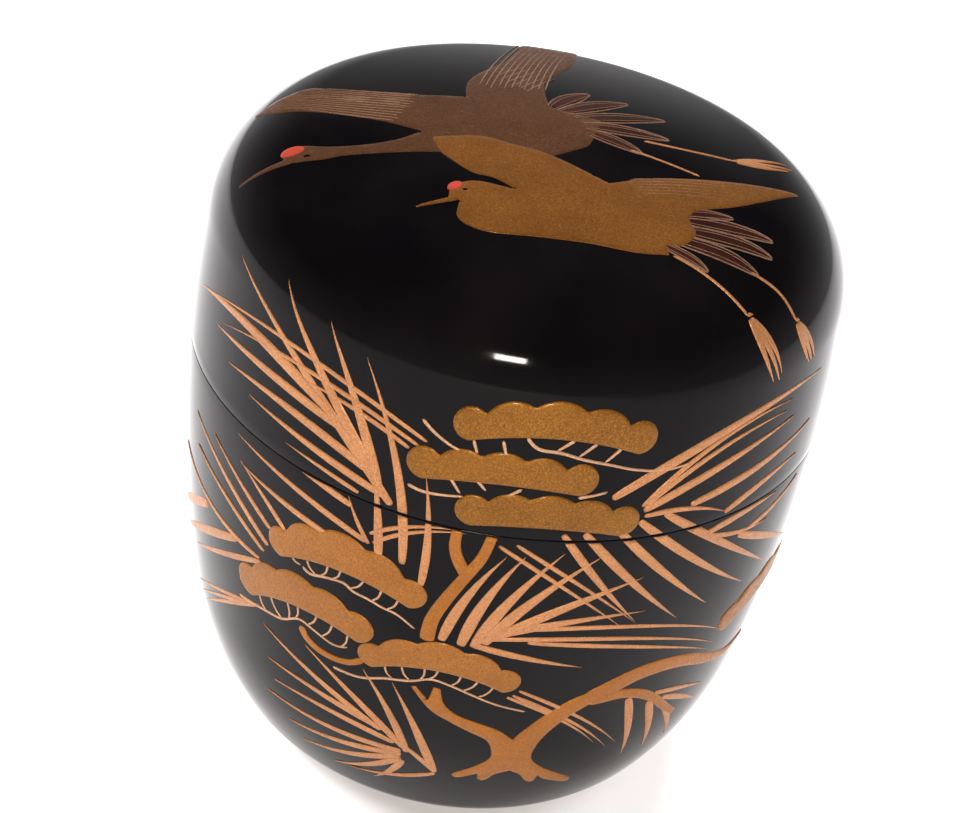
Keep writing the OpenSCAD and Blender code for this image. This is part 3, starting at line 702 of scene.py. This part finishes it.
def leaf_height(i):
    """One of eight heights, unlike those of the leaves before and after."""
    return LEAF_HEIGHT + LEAF_STEP * (i * 5 % 8)


def leaves(name, lists, body, replaced, above=None):
    """A spray of leaves. above is True or False to keep only what is above or below the joint."""
    bm = bmesh.new()
    for i, spec in enumerate(s for one in lists for s in one):
        ribbon(bm, leaf_line(spec), leaf_height(i))
    if above is not None:
        cut_at(bm, SEAM_Z + (SEAM_CLEAR if above else -SEAM_CLEAR), above)
    return finish_drawing(name, bm, on_wall, LEAF, body, replaced)


def strands(name, lists, replaced, material=BRANCH, body="caddy_body",
            height=BRANCH_HEIGHT, cut=False):
    """Branches or twigs on the wall. cut ends them below the joint."""
    bm = bmesh.new()
    for i, (points, w0, w1) in enumerate(lists):
        ribbon(bm, path_line(points, w0, w1), height - BRANCH_STEP * (i % 5))
    if cut:
        cut_at(bm, SEAM_Z - SEAM_CLEAR, False)
    return finish_drawing(name, bm, on_wall, material, body, replaced)


def ticks(bm, spec, points, count):
    """Short curved twigs from a clump's underside down to the twig line below it."""
    a, b, r0, under_rise = Vector(spec[0]), Vector(spec[1]), spec[3], spec[5]
    line = smooth_path(points)
    way = (b - a).normalized()
    side = Vector((-way.y, way.x))
    draw = random.Random(count)
    for k in range(count):
        t = (k + 0.5 + 0.5 * draw.random()) / count
        start = a + (b - a) * t + side * (under_rise * 4 * t * (1 - t) - r0 + 0.25)
        lean = 0.9 if t < 0.4 else -0.9
        end = min(line, key=lambda p: (p - start - way * lean + side).length)
        if 0.5 < (end - start).length < 3:
            middle = (start + end) / 2 + side * -0.15 + way * lean * -0.2
            ribbon(bm, path_line([start, middle, end], *TICK_WIDTHS, 0.3), TICK_HEIGHT)


def clumps(name, specs, material, body, replaced):
    bm = bmesh.new()
    for spec in specs:
        grid_solid(bm, clump_rows(spec))
    return finish_drawing(name, bm, on_wall, material, body, replaced)


# ------------------------------------------------------------------ the drawings
# A leaf is [start, tip, bow, width]. A clump is [left end, right end, rise, radius of its
# end lobes, radius of its middle lobes, rise of its underside]. A strand is
# [points, first width, last width].

LID_CLUMPS = [
    [[-1.9, 55.6], [12.8, 55.6], 0.5, 1.6, 2.7, 1.3],
    [[-5.3, 51], [8.1, 51.6], 0.2, 1.6, 2.1, 0.7],
    [[-0.5, 47.5], [12.6, 47.3], 0.3, 1.6, 2.3, 0.7],
]
FRONT_CLUMPS = [
    [[-18, 36.1], [-4.8, 36.9], 1.9, 1.7, 2.6, 1.7],
    [[-22, 28.4], [-9.4, 30.6], 1.5, 1.9, 2.6, 1.8],
    [[-7.3, 27.8], [5.1, 28], 1.6, 1.6, 2.5, 1.8],
]
RIGHT_CLUMPS = [[[30.5, 29.5], [43, 29.5], 1.2, 1.8, 2.4, 1.4]]
BACK_CLUMPS = [
    [[88, 33], [100, 33], 1.2, 1.6, 2.4, 1.4],
    [[98, 26], [110, 26], 1.2, 1.6, 2.4, 1.4],
]
LID_TWIGS = [
    [[-6.2, 55], [-5, 54.1], [-3.5, 53.3], [-2, 52.8]],
    [[-1.6, 54.4], [-0.9, 52.8]],
    [[0.9, 54.8], [1.6, 52.8]],
    [[2.8, 55.3], [4, 54.3], [6, 54.1], [8, 53.6], [10.5, 53.1], [13, 52.5], [16, 52.2], [19, 52.6]],
    [[7.2, 55.5], [5.4, 54.1]],
    [[9.2, 55.3], [7.4, 53.7]],
    [[11.4, 54.8], [9.8, 53.2]],
    [[-6.6, 48.5], [-5, 48.2], [-3, 48.4], [-1.4, 48.7]],
    [[-3.2, 50.6], [-1.7, 48.7]],
    [[-0.8, 50.7], [0.4, 49.5]],
    [[3.4, 50.4], [1.8, 49.2]],
    [[8, 49.8], [9.5, 50.1], [10.9, 50.5]],
]
# The line of twigs below each front clump
BODY_TWIGS = [
    [[-15.5, 34.9], [-14.5, 34.5], [-13, 35], [-11, 35.4], [-10, 34.9], [-8.5, 34.7], [-7, 34.3],
     [-5.5, 34], [-3.6, 32.8]],
    [[-24, 25], [-22, 25.5], [-20, 26], [-17.5, 26.6], [-15.5, 28], [-14, 27.8], [-11.5, 27.1],
     [-9.8, 27.6]],
    [[-11.5, 24], [-8.5, 24.2], [-6, 25.3], [-3.5, 26], [-1.5, 26.9], [0.7, 26.4], [2.6, 25.6],
     [5, 24.6], [8, 23.7]],
]

# The trunk's outline, clockwise from the end of its left fork, with the roots at its foot
TRUNK = [
    [-3.5, 25.3], [-2.9, 25.6], [-1.6, 24.1], [-1.3, 26], [-0.5, 25.9], [0.1, 23.8], [1.6, 22.5],
    [4, 21.6], [5.8, 20.8], [7.3, 19.5], [8.2, 21], [10, 23.4], [12, 25.2], [14.2, 26.2],
    [15.2, 24.7], [12.8, 22.8], [10.9, 20.4], [10, 18], [10, 16], [11.5, 14.2], [13.4, 12.7],
    [15.6, 10.9], [15.7, 10.2], [15, 10], [12.2, 11.5], [11.4, 12.4], [11.3, 11.4], [10.7, 11.1],
    [10.1, 11.5], [9.2, 12.9], [8, 13.8], [6.7, 13.1], [6, 12], [5.4, 11.6], [4.8, 12],
    [4.7, 13], [3.5, 12.2], [2.6, 11.8], [2, 12.2], [2.3, 12.9], [3.8, 14.2], [5.3, 15.8],
    [5.5, 17], [4.8, 18.9], [3.2, 19.9], [0.8, 21.2], [-1.4, 22.6],
]
UPPER_BRANCH = [
    [[[-2.6, 31.6], [-2.4, 34.5], [-1.6, 37], [-0.6, 39.3], [0.2, 41], [1, 42.8], [1.6, 45.5]], 1.4, 0.9],
    [[[0, 40.4], [-1, 42], [-1.5, 43.5], [-1.5, 45.5]], 1.2, 0.9],
    [[[-15.2, 27.4], [-14.4, 26.1], [-13, 25.4], [-11, 25.3], [-9.4, 25.8], [-8.2, 26.8]], 0.8, 0.7],
]
RIGHT_BRANCH = [
    [[[13.5, 24.6], [18, 27], [21.5, 27.3], [25, 26.4], [28.5, 24.6], [33, 22.5], [38, 22]], 2.5, 0.7],
    [[[14, 24.6], [17.5, 24.7], [20, 23.8], [22.3, 22], [24.5, 19.6], [27, 17]], 1.5, 0.8],
]
BACK_BRANCH = [
    [[[112, 13], [108, 18], [102, 22], [95, 28], [92, 33]], 2.4, 0.8],
    [[[105, 20], [106, 26]], 1.2, 0.8],
]
LEFT_SPRAY = [
    [[-7.2, 45.4], [-30, 60], -1.9, 0.9],
    [[-10, 49], [-22.5, 61.2], -0.2, 0.9],
    [[-8.8, 47], [-16.5, 60.2], -0.6, 0.9],
    [[-5.8, 39.7], [-12.2, 58.8], -1.5, 0.8],
    [[-3.9, 38], [-5, 50], -0.5, 0.7],
    [[-8, 39.7], [-9.6, 49], -0.2, 0.8],
    [[-8, 46.4], [-24.5, 48.9], -0.5, 0.7],
    [[-9.6, 48.2], [-28.5, 49.8], -1.4, 0.8],
    [[-13, 51.2], [-32, 51.8], -0.9, 0.8],
    [[-14, 52], [-37.5, 52.5], -2.6, 1],
    [[-4.8, 52.7], [-36, 53], -3.4, 0.4],
    [[-5.6, 52.2], [-31, 52.4], -2.6, 0.4],
    [[-6.6, 51.8], [-20, 53.6], -1, 0.4],
    [[-10.5, 45.8], [-19, 47], -0.2, 0.4],
    [[-11, 44.2], [-18.4, 45.4], -0.2, 0.6],
    [[-9, 40.9], [-11.6, 45.3], 0.2, 0.4],
    [[-9, 41], [-25.5, 44.1], -0.5, 0.6],
    [[-12.5, 39.9], [-24.5, 41.4], -0.1, 0.6],
    [[-8.8, 41.1], [-0.5, 45], 0.9, 0.4],
    [[-9.2, 42], [-1, 45.2], 0.8, 0.4],
]
RIGHT_SPRAY = [
    [[10.8, 49.4], [37.5, 55.8], 2.8, 0.9],
    [[14, 48.4], [31.5, 55.1], 2.7, 0.5],
    [[14.3, 48.4], [30.8, 54.2], 2.1, 0.5],
    [[14.2, 48.1], [32.2, 53.2], 1, 0.8],
    [[19, 47.9], [36.5, 50.9], 0.3, 0.8],
    [[23.5, 45.8], [34.5, 48], 0.6, 0.7],
    [[14.5, 47.6], [24.2, 45.7], 0.9, 0.5],
    [[16.4, 47.8], [34.5, 34.5], 0.2, 0.8],
    [[14, 47.4], [30.5, 34.2], -0.2, 0.8],
    [[12.2, 46.6], [25, 34.3], -0.2, 0.8],
    [[9.2, 46.4], [21.5, 33.8], -0.2, 0.8],
    [[7.4, 46.2], [16.5, 35], -0.2, 0.7],
    [[21.8, 44], [32, 44.8], 0.4, 0.7],
    [[21.8, 43.9], [31.5, 41.9], -0.4, 0.5],
    [[26.5, 42.2], [39, 35.2], 0.2, 0.8],
    [[28, 42.3], [36.5, 44.5], -0.2, 0.6],
]
FAR_LEFT_SPRAY = [
    [[-17.6, 37.6], [-24.5, 41.6], -0.3, 0.5],
    [[-19.4, 36.6], [-29.5, 41.3], -0.3, 0.5],
    [[-19.5, 34.4], [-34.5, 40.6], -0.7, 0.6],
    [[-20, 33.4], [-33.5, 37.2], -0.6, 0.5],
    [[-20.5, 32.2], [-38.5, 34], 0.6, 0.5],
    [[-20.4, 32], [-35, 22.8], -0.2, 0.6],
    [[-24, 32.2], [-43.5, 18.5], -0.6, 0.9],
    [[-30, 32], [-47, 19], -0.5, 1],
]
CENTRE_SPRAY = [
    [[-1.3, 32], [3.2, 43.4], 0.7, 0.9],
    [[0.5, 31.8], [4.8, 43.6], 0.7, 1],
    [[1.6, 31.8], [8.2, 44.2], 0.8, 1],
    [[2.4, 32.4], [11.6, 43.7], 0.9, 1],
    [[3, 33.2], [16.3, 40.7], 0.9, 1],
    [[2, 33.2], [17.5, 36.2], 1.2, 0.8],
    [[1.5, 32.4], [12.4, 29.8], 0.1, 0.7],
]
LOW_LEFT_SPRAY = [
    [[0.3, 12.3], [-5.3, 25.3], -0.3, 0.9],
    [[-2.8, 14.8], [-8.3, 25.7], -0.5, 0.8],
    [[-3, 15.4], [-14.8, 25.2], -0.6, 0.8],
    [[-5.5, 17.4], [-20.3, 24.2], -0.3, 0.7],
    [[-6, 17.8], [-19.8, 19.6], -0.6, 0.7],
    [[-4, 16], [-19, 16.8], -0.9, 0.7],
    [[-3.2, 15], [-20.3, 14.2], 0.1, 0.7],
    [[-3.2, 14.6], [-17.5, 11.2], 0.2, 0.8],
    [[-3.3, 14.2], [-16, 8.6], 0.5, 0.8],
    [[-3.4, 13.8], [-11.5, 7.6], 0.6, 0.8],
    [[-3.2, 13.4], [-6.5, 7.8], 0.4, 0.8],
    [[0.5, 12.2], [-9.5, 8.2], 0.5, 0.6],
    [[0.5, 12.2], [-6, 18], -0.4, 0.6],
]
LOW_RIGHT_SPRAY = [
    [[18.6, 23.8], [21.2, 12.8], 0.3, 0.9],
    [[21.6, 22], [24.3, 12.5], 0.3, 0.9],
    [[24, 20.5], [28.2, 12], 0.3, 0.8],
    [[22, 23], [30.5, 19.5], 0.3, 0.6],
    [[23.5, 21.6], [31, 16.5], 0.3, 0.7],
]
BACK_SPRAY = [
    [[90, 34], [78, 42], -0.5, 0.8],
    [[90, 34], [82, 44], -0.5, 0.8],
    [[90, 34], [76, 38], -0.5, 0.8],
    [[90, 34], [76, 33], -0.5, 0.8],
    [[112, 13], [122, 22], -0.5, 0.8],
    [[112, 13], [125, 17], -0.5, 0.8],
    [[112, 13], [118, 25], -0.5, 0.8],
]
LONG_STEMS = [
    [[2.5, 34.4], [30.5, 27.5], 3.4, 0.5],
    [[2, 33.2], [29.5, 26.3], 3.2, 0.5],
    [[6, 33.3], [28.5, 26], 1.8, 0.5],
    [[6.5, 26.9], [19.5, 16], 1, 0.4],
    [[6, 26.2], [18.3, 15.8], 1, 0.4],
    [[5.5, 25.9], [16.5, 17.2], 0.9, 0.4],
    [[2, 44.4], [15.5, 34.3], 0.5, 0.4],
    [[3.5, 44.7], [16.8, 34.6], 0.5, 0.4],
]
LEFT_STEMS = [
    [[-20.3, 26.1], [-35.5, 17.2], -0.5, 0.4],
    [[-20.8, 25.8], [-34.5, 16.4], -0.4, 0.4],
    [[-21.3, 25.5], [-33.5, 15.8], -0.3, 0.4],
]

# Cranes, drawn on the lid's top as [distance to the right, distance back] from its middle
WING_JOINT = [[0.5, -6.6], [-3, -5.8], [-6, -5.2], [-10.4, -6.6], [-9.2, -9.1]]
# The rear crane runs on this far under the front one
UNDER_JOINT = [[0.8, -7], [-3, -6.4], [-6, -5.8], [-9.6, -6.9], [-8.6, -9.2]]
FRONT_CRANE = [
    [-9.9, -18.2], [-9.8, -18.6], [-6.4, -16.7], [-6.3, -19], [-5, -20.2], [-3, -20.6], [0, -20.2],
    [5, -19.6], [9, -19.4], [12, -18.6], [11.6, -17.5], [13.2, -16.6], [14.2, -14.5], [13.6, -12.4],
    [14.4, -10.6], [17.6, -8.2], [20.4, -5.6], [24.8, -1], [18.5, -3], [10.5, -6.6], [6.1, -9.6],
    *WING_JOINT,
    [-7.5, -10.8], [-5.8, -12.1], [-4, -12.4], [-2, -13.6], [-5, -13.2], [-6.6, -13.8], [-7.4, -15],
    [-7.4, -16.4],
]
REAR_CRANE = [
    [-12, -10], [-17, -11.5], [-19, -12.5], [-22, -12.9], [-27.4, -13.6], [-27.4, -13.2],
    [-22.8, -12.1], [-22.8, -11], [-21.5, -10.1], [-19, -10.1], [-16, -9.3], [-13.3, -7.8],
    [-11.4, -5.8], [-15, -4.6], [-20, -3.7], [-25, -3.2], [-28.5, -1.5], [-26, 0.6], [-23, 2.2],
    [-20, 1.7], [-16, 1.6], [-12, 2.3], [-8.4, 3], [-8.7, 6], [-8.2, 9], [-5.8, 15], [-5, 19],
    [-4.2, 24], [-1, 28], [1.5, 25], [1.4, 18], [0.4, 14.5], [-1, 10.5], [-0.9, 7], [-0.2, 3.6],
    [5, 2.6], [4.2, -2.4], [3.6, -4], *UNDER_JOINT,
]
FEATHERS = [
    [[0, 3.4], [3.4, 9], 0.3, 2],
    [[0.8, 2.6], [7.4, 8.6], 0.3, 2.1],
    [[2.2, 1.6], [11.2, 6.4], 0.3, 2.1],
    [[3, 0.6], [11.6, 1.8], 0.3, 2.1],
    [[3.2, -0.4], [9, -2.8], 0.3, 1.9],
    [[12.6, -12], [17.6, -10.2], 0.2, 1.5],
    [[12.8, -12.8], [21.4, -11.8], 0.3, 2],
    [[12.8, -14.4], [21.4, -14.1], 0.3, 2],
    [[11.8, -16], [20.2, -17], 0.3, 1.9],
    [[11, -17.2], [15.4, -19.2], 0.2, 1.2],
]
LEGS = [
    [[[7.5, -2.4], [10, -2.9], [14.6, -4.2]], 0.28, 0.22],
    [[[8.8, 0.2], [13, 0.6], [18, 1.3]], 0.28, 0.24],
    [[[12, -18.4], [16, -19.9], [20, -21.4]], 0.28, 0.26],
    [[[19, -17], [22.5, -17.2], [25.5, -18.2]], 0.28, 0.26],
]
# Each foot is [ankle, toe tips in turn]
FEET = [
    [[18, 1.3], [23.6, 4.7], [24.2, 4.1], [23.8, 3.4]],
    [[20, -21.4], [26.8, -23], [27.4, -23.7], [26.4, -24.2]],
    [[25.5, -18.2], [31, -18.1], [31.4, -18.7], [30.4, -19.1]],
]
# Each crown is [centre, long radius, short radius, turn in degrees]
CROWNS = [[[-7, -14.6], 0.9, 0.6, 60], [[-22, -11], 1.2, 0.8, 20]]
EYES = [[[-6.1, -15], 0.28, 0.18, 20], [[-20.5, -11.9], 0.32, 0.2, 5]]
# Fans of fine strokes on the wings: [first start, first end, last start, last end, count]
WING_FANS = [
    [[-13, 0.6], [-26.5, 0.2], [-13, -4.4], [-26.5, -2.2], 9],
    [[-12, 2], [-22.4, 2], [-12.5, -1], [-26, 0.6], 6],
    [[-7.6, 5], [-4.6, 24], [-1.2, 6], [1, 24.5], 11],
    [[-6.4, 9], [-2, 16], [-3, 6], [0, 12], 6],
    [[7, -8.6], [22.5, -2.2], [8, -10.6], [19, -6.6], 6],
]


def crane_shape(name, outline, height, material, node):
    bm = bmesh.new()
    filled_shape(bm, outline, height)
    return finish_drawing(name, bm, on_top, material, "lid", [node])


def oval(bm, spec, height):
    """A small domed oval."""
    (x, y), long_r, short_r, turn = spec
    spin = Matrix.Rotation(math.radians(turn), 2)
    rings = [(1.0, ROOT), (0.9, height * 0.6), (0.6, height * 0.92), (0.3, height)]
    count = 24
    loops = []
    for share, h in rings:
        loops.append([bm.verts.new((x + q.x, y + q.y, h)) for q in
                      (spin @ Vector((long_r * share * math.cos(a), short_r * share * math.sin(a)))
                       for a in (math.tau * k / count for k in range(count)))])
    for low, high in zip(loops, loops[1:]):
        for k in range(count):
            n = (k + 1) % count
            bm.faces.new([low[k], low[n], high[n], high[k]])
    bm.faces.new(loops[-1])
    bm.faces.new(loops[0][::-1])


def ovals(name, specs, height, material, replaced=()):
    bm = bmesh.new()
    for spec in specs:
        oval(bm, spec, height)
    return finish_drawing(name, bm, on_top, material, "lid", replaced)


def feather_line(spec):
    return leaf_line(spec, 16, feather_fullness)


def feather_side(spec, side, share):
    """Points along a feather at a share of its half width, on the side that is 1 or -1."""
    points = []
    for p, way, half in feather_line(spec):
        points.append(p + Vector((-way.y, way.x)) * half * side * share)
    return points


def make_feathers():
    bm = bmesh.new()
    for i, spec in enumerate(FEATHERS):
        ribbon(bm, feather_line(spec), FEATHER_HEIGHT + FEATHER_STEP * (i % 3))
    finish_drawing("crane_tail", bm, on_top, FEATHER, "lid", ["crane_tail_feathers"])
    bm = bmesh.new()
    for i, spec in enumerate(FEATHERS):
        for side, share, width in ((1, 1, 0.15), (-1, 1, 0.15), (1, 0.5, 0.08), (-1, 0.5, 0.08)):
            line = path_line(feather_side(spec, side, share), width, width, 0.6)
            ribbon(bm, line, FEATHER_LINE_HEIGHT + FEATHER_LINE_STEP * (i % 4))
    finish_drawing("crane_tail_lines", bm, on_top, LINE, "lid")


def make_legs():
    """Thin legs, each foot's three long toes and its short hind toe."""
    bm = bmesh.new()
    for points, w0, w1 in LEGS:
        ribbon(bm, path_line(points, w0, w1), LEG_HEIGHT)
    for ankle, *tips in FEET:
        for i, tip in enumerate(tips):
            bow = 0.35 * (1 - i)
            ribbon(bm, leaf_line([ankle, tip, bow, 0.62], 20), LEG_HEIGHT + TOE_STEP * i)
        heel = Vector(ankle) + 0.2 * (Vector(ankle) - Vector(tips[1])).normalized()
        back = heel + Vector((0.9, 0.7)) * 0.6
        ribbon(bm, leaf_line([heel, back, 0.1, 0.3], 8), HIND_TOE_HEIGHT)
    finish_drawing("crane_leg_lines", bm, on_top, LEAF, "lid", ["crane_legs"])


def make_wing_strokes():
    """Each fan's strokes pass evenly from its first to its last, with ragged ends."""
    bm = bmesh.new()
    draw = random.Random(7)
    for a0, a1, b0, b1, count in WING_FANS:
        for k in range(count):
            t = k / (count - 1)
            a = Vector(a0).lerp(Vector(b0), t)
            b = Vector(a1).lerp(Vector(b1), t)
            trim = 0.08 * draw.random()
            spec = [a.lerp(b, trim), b.lerp(a, 0.1 * draw.random()), 0.02 * (b - a).length, 0.16]
            ribbon(bm, leaf_line(spec, 22), STROKE_HEIGHT)
    finish_drawing("crane_wing_strokes", bm, on_top, LINE, "lid")


def make_lid_drawings():
    leaves("lid_leaves_left", [LEFT_SPRAY], "lid", ["lid_leaf_spray_left"], above=True)
    leaves("lid_leaves_right", [RIGHT_SPRAY], "lid", ["lid_leaf_spray_right"], above=True)
    clumps("lid_clumps", LID_CLUMPS, PINE, "lid", ["lid_pine_clumps"])
    twigs = [[points, *TWIG_WIDTHS] for points in LID_TWIGS]
    strands("lid_twigs", twigs, ["lid_clump_twigs"], TWIG, "lid", LID_TWIG_HEIGHT)
    crane_shape("rear_crane", REAR_CRANE, REAR_CRANE_HEIGHT, REAR, "crane_rear")
    crane_shape("front_crane", FRONT_CRANE, FRONT_CRANE_HEIGHT, CRANE, "crane_front")
    ovals("crane_crowns_red", CROWNS, CROWN_HEIGHT, CROWN, ["crane_crowns"])
    ovals("crane_eyes", EYES, EYE_HEIGHT, BLACK)
    make_feathers()
    make_wing_strokes()
    make_legs()


def make_trunk():
    bm = bmesh.new()
    filled_shape(bm, TRUNK, TRUNK_HEIGHT, rim=0.4)
    finish_drawing("body_trunk", bm, on_wall, BRANCH, "caddy_body", ["body_pine_trunk"])


def make_body_twigs():
    """Below each front clump, its line of twigs and the short ticks that join them."""
    bm = bmesh.new()
    for spec, points in zip(FRONT_CLUMPS, BODY_TWIGS):
        ribbon(bm, path_line(points, *TWIG_WIDTHS), BODY_TWIG_HEIGHT)
        ticks(bm, spec, points, 7)
    finish_drawing("body_twigs", bm, on_wall, TWIG, "caddy_body", ["body_clump_twigs"])


def make_body_drawings():
    body = "caddy_body"
    leaves("body_leaves_seam", [LEFT_SPRAY], body, ["body_leaf_spray_seam"], above=False)
    leaves("body_leaves_right", [RIGHT_SPRAY], body, ["body_leaf_spray_right"], above=False)
    leaves("body_leaves_left", [FAR_LEFT_SPRAY], body, ["body_leaf_spray_left"])
    leaves("body_leaves_centre", [CENTRE_SPRAY], body, ["body_leaf_spray_centre"])
    leaves("body_leaves_low_left", [LOW_LEFT_SPRAY], body, ["body_leaf_spray_low_left"])
    leaves("body_leaves_low_right", [LOW_RIGHT_SPRAY], body, ["body_leaf_spray_low_right"])
    leaves("body_leaves_back", [BACK_SPRAY], body, ["body_back_leaf_spray"])
    leaves("body_stems", [LONG_STEMS, LEFT_STEMS], body, ["body_long_stems"])
    clumps("body_clumps", FRONT_CLUMPS + RIGHT_CLUMPS, BODY_PINE, body, ["body_pine_clumps"])
    clumps("body_clumps_back", BACK_CLUMPS, BODY_PINE, body, ["body_back_pine"])
    strands("body_branch_back", BACK_BRANCH, [])
    make_trunk()
    strands("body_branch_upper", UPPER_BRANCH, ["body_upper_branch"], height=UPPER_BRANCH_HEIGHT, cut=True)
    strands("body_branch_right", RIGHT_BRANCH, ["body_right_branch"])
    make_body_twigs()


def make_cores():
    """The wood cores are the CAD's own solids, which are only given their wood."""
    for node in ("body_wood_core", "lid_wood_core"):
        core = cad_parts[node]
        core.data.materials.clear()
        core.data.materials.append(WOOD)


# ------------------------------------------------------------------ room, light, camera

def make_floor():
    """A round floor that ends where the lamps still light it."""
    bm = bmesh.new()
    bmesh.ops.create_circle(bm, cap_ends=True, segments=128, radius=1.1)
    mesh = bpy.data.meshes.new("floor")
    bm.to_mesh(mesh)
    bm.free()
    mesh.materials.append(pale_floor("pale_floor"))
    floor = bpy.data.objects.new("floor", mesh)
    bpy.context.scene.collection.objects.link(floor)


def area_lamp(name, place, aim, size, power, color=(1, 1, 1), mirrored=True):
    """A rectangular lamp. size is its width and height. The caddy shows it only if mirrored."""
    data = bpy.data.lights.new(name, "AREA")
    data.shape = "RECTANGLE"
    data.size, data.size_y = size
    data.energy = power
    data.color = color
    lamp = bpy.data.objects.new(name, data)
    lamp.location = place
    lamp.rotation_euler = (Vector(aim) - Vector(place)).to_track_quat("-Z", "Y").to_euler()
    lamp.visible_glossy = mirrored
    bpy.context.scene.collection.objects.link(lamp)


def make_world():
    """Pale up to the horizon and then fading to nearly black, for the photo's dark room."""
    world = bpy.data.worlds.new("room")
    world.use_nodes = True
    tree = world.node_tree
    back = tree.nodes["Background"]
    place = tree.nodes.new("ShaderNodeTexCoord")
    split = tree.nodes.new("ShaderNodeSeparateXYZ")
    tree.links.new(place.outputs["Generated"], split.inputs[0])
    tone = ramp(tree, split.outputs["Z"], [(0.0, (0.9, 0.88, 0.88)), (0.2, (0.5, 0.49, 0.5)),
                                           (0.45, (0.02, 0.02, 0.022)), (1.0, (0.01, 0.01, 0.012))])
    tree.links.new(tone, back.inputs["Color"])
    back.inputs["Strength"].default_value = 1.0
    bpy.context.scene.world = world


def make_camera():
    """The photo's view, from a fit to the caddy's outline and joint."""
    distance = 0.1505
    tilt = math.radians(35.44)
    roll = math.radians(10.34)
    sensor_width = 36
    lens = 52.72
    aim = Vector((0, 0, 0.035))
    forward = Vector((0, math.cos(tilt), -math.sin(tilt)))
    right = Vector((1, 0, 0))
    up = right.cross(forward)
    x_axis = right * math.cos(roll) + up * math.sin(roll)
    y_axis = up * math.cos(roll) - right * math.sin(roll)
    data = bpy.data.cameras.new("camera")
    data.sensor_width = sensor_width
    data.lens = lens
    data.clip_start = 0.01
    data.shift_x = -0.0202
    data.shift_y = 0.0046
    camera = bpy.data.objects.new("camera", data)
    turn = Matrix((x_axis, y_axis, -forward)).transposed()
    camera.matrix_world = Matrix.Translation(aim - forward * distance) @ turn.to_4x4()
    bpy.context.scene.collection.objects.link(camera)
    bpy.context.scene.camera = camera


make_turned_pieces()
make_lid_drawings()
make_body_drawings()
make_cores()
make_floor()
make_world()
area_lamp("soft_back", (0.0, 0.75, 0.75), (0, 0.05, 0), (0.7, 0.7), 22, mirrored=False)
area_lamp("soft_left", (-0.7, 0.1, 0.7), (0, 0, 0.02), (0.6, 0.6), 20, mirrored=False)
area_lamp("soft_right", (0.7, 0.1, 0.7), (0, 0, 0.02), (0.6, 0.6), 7, mirrored=False)
area_lamp("key", (0.015, -0.77, 0.375), (0, 0, 0.05), (0.14, 0.065), 9, (1.0, 0.93, 0.85))
make_camera()
bpy.context.scene.view_settings.view_transform = "Standard"
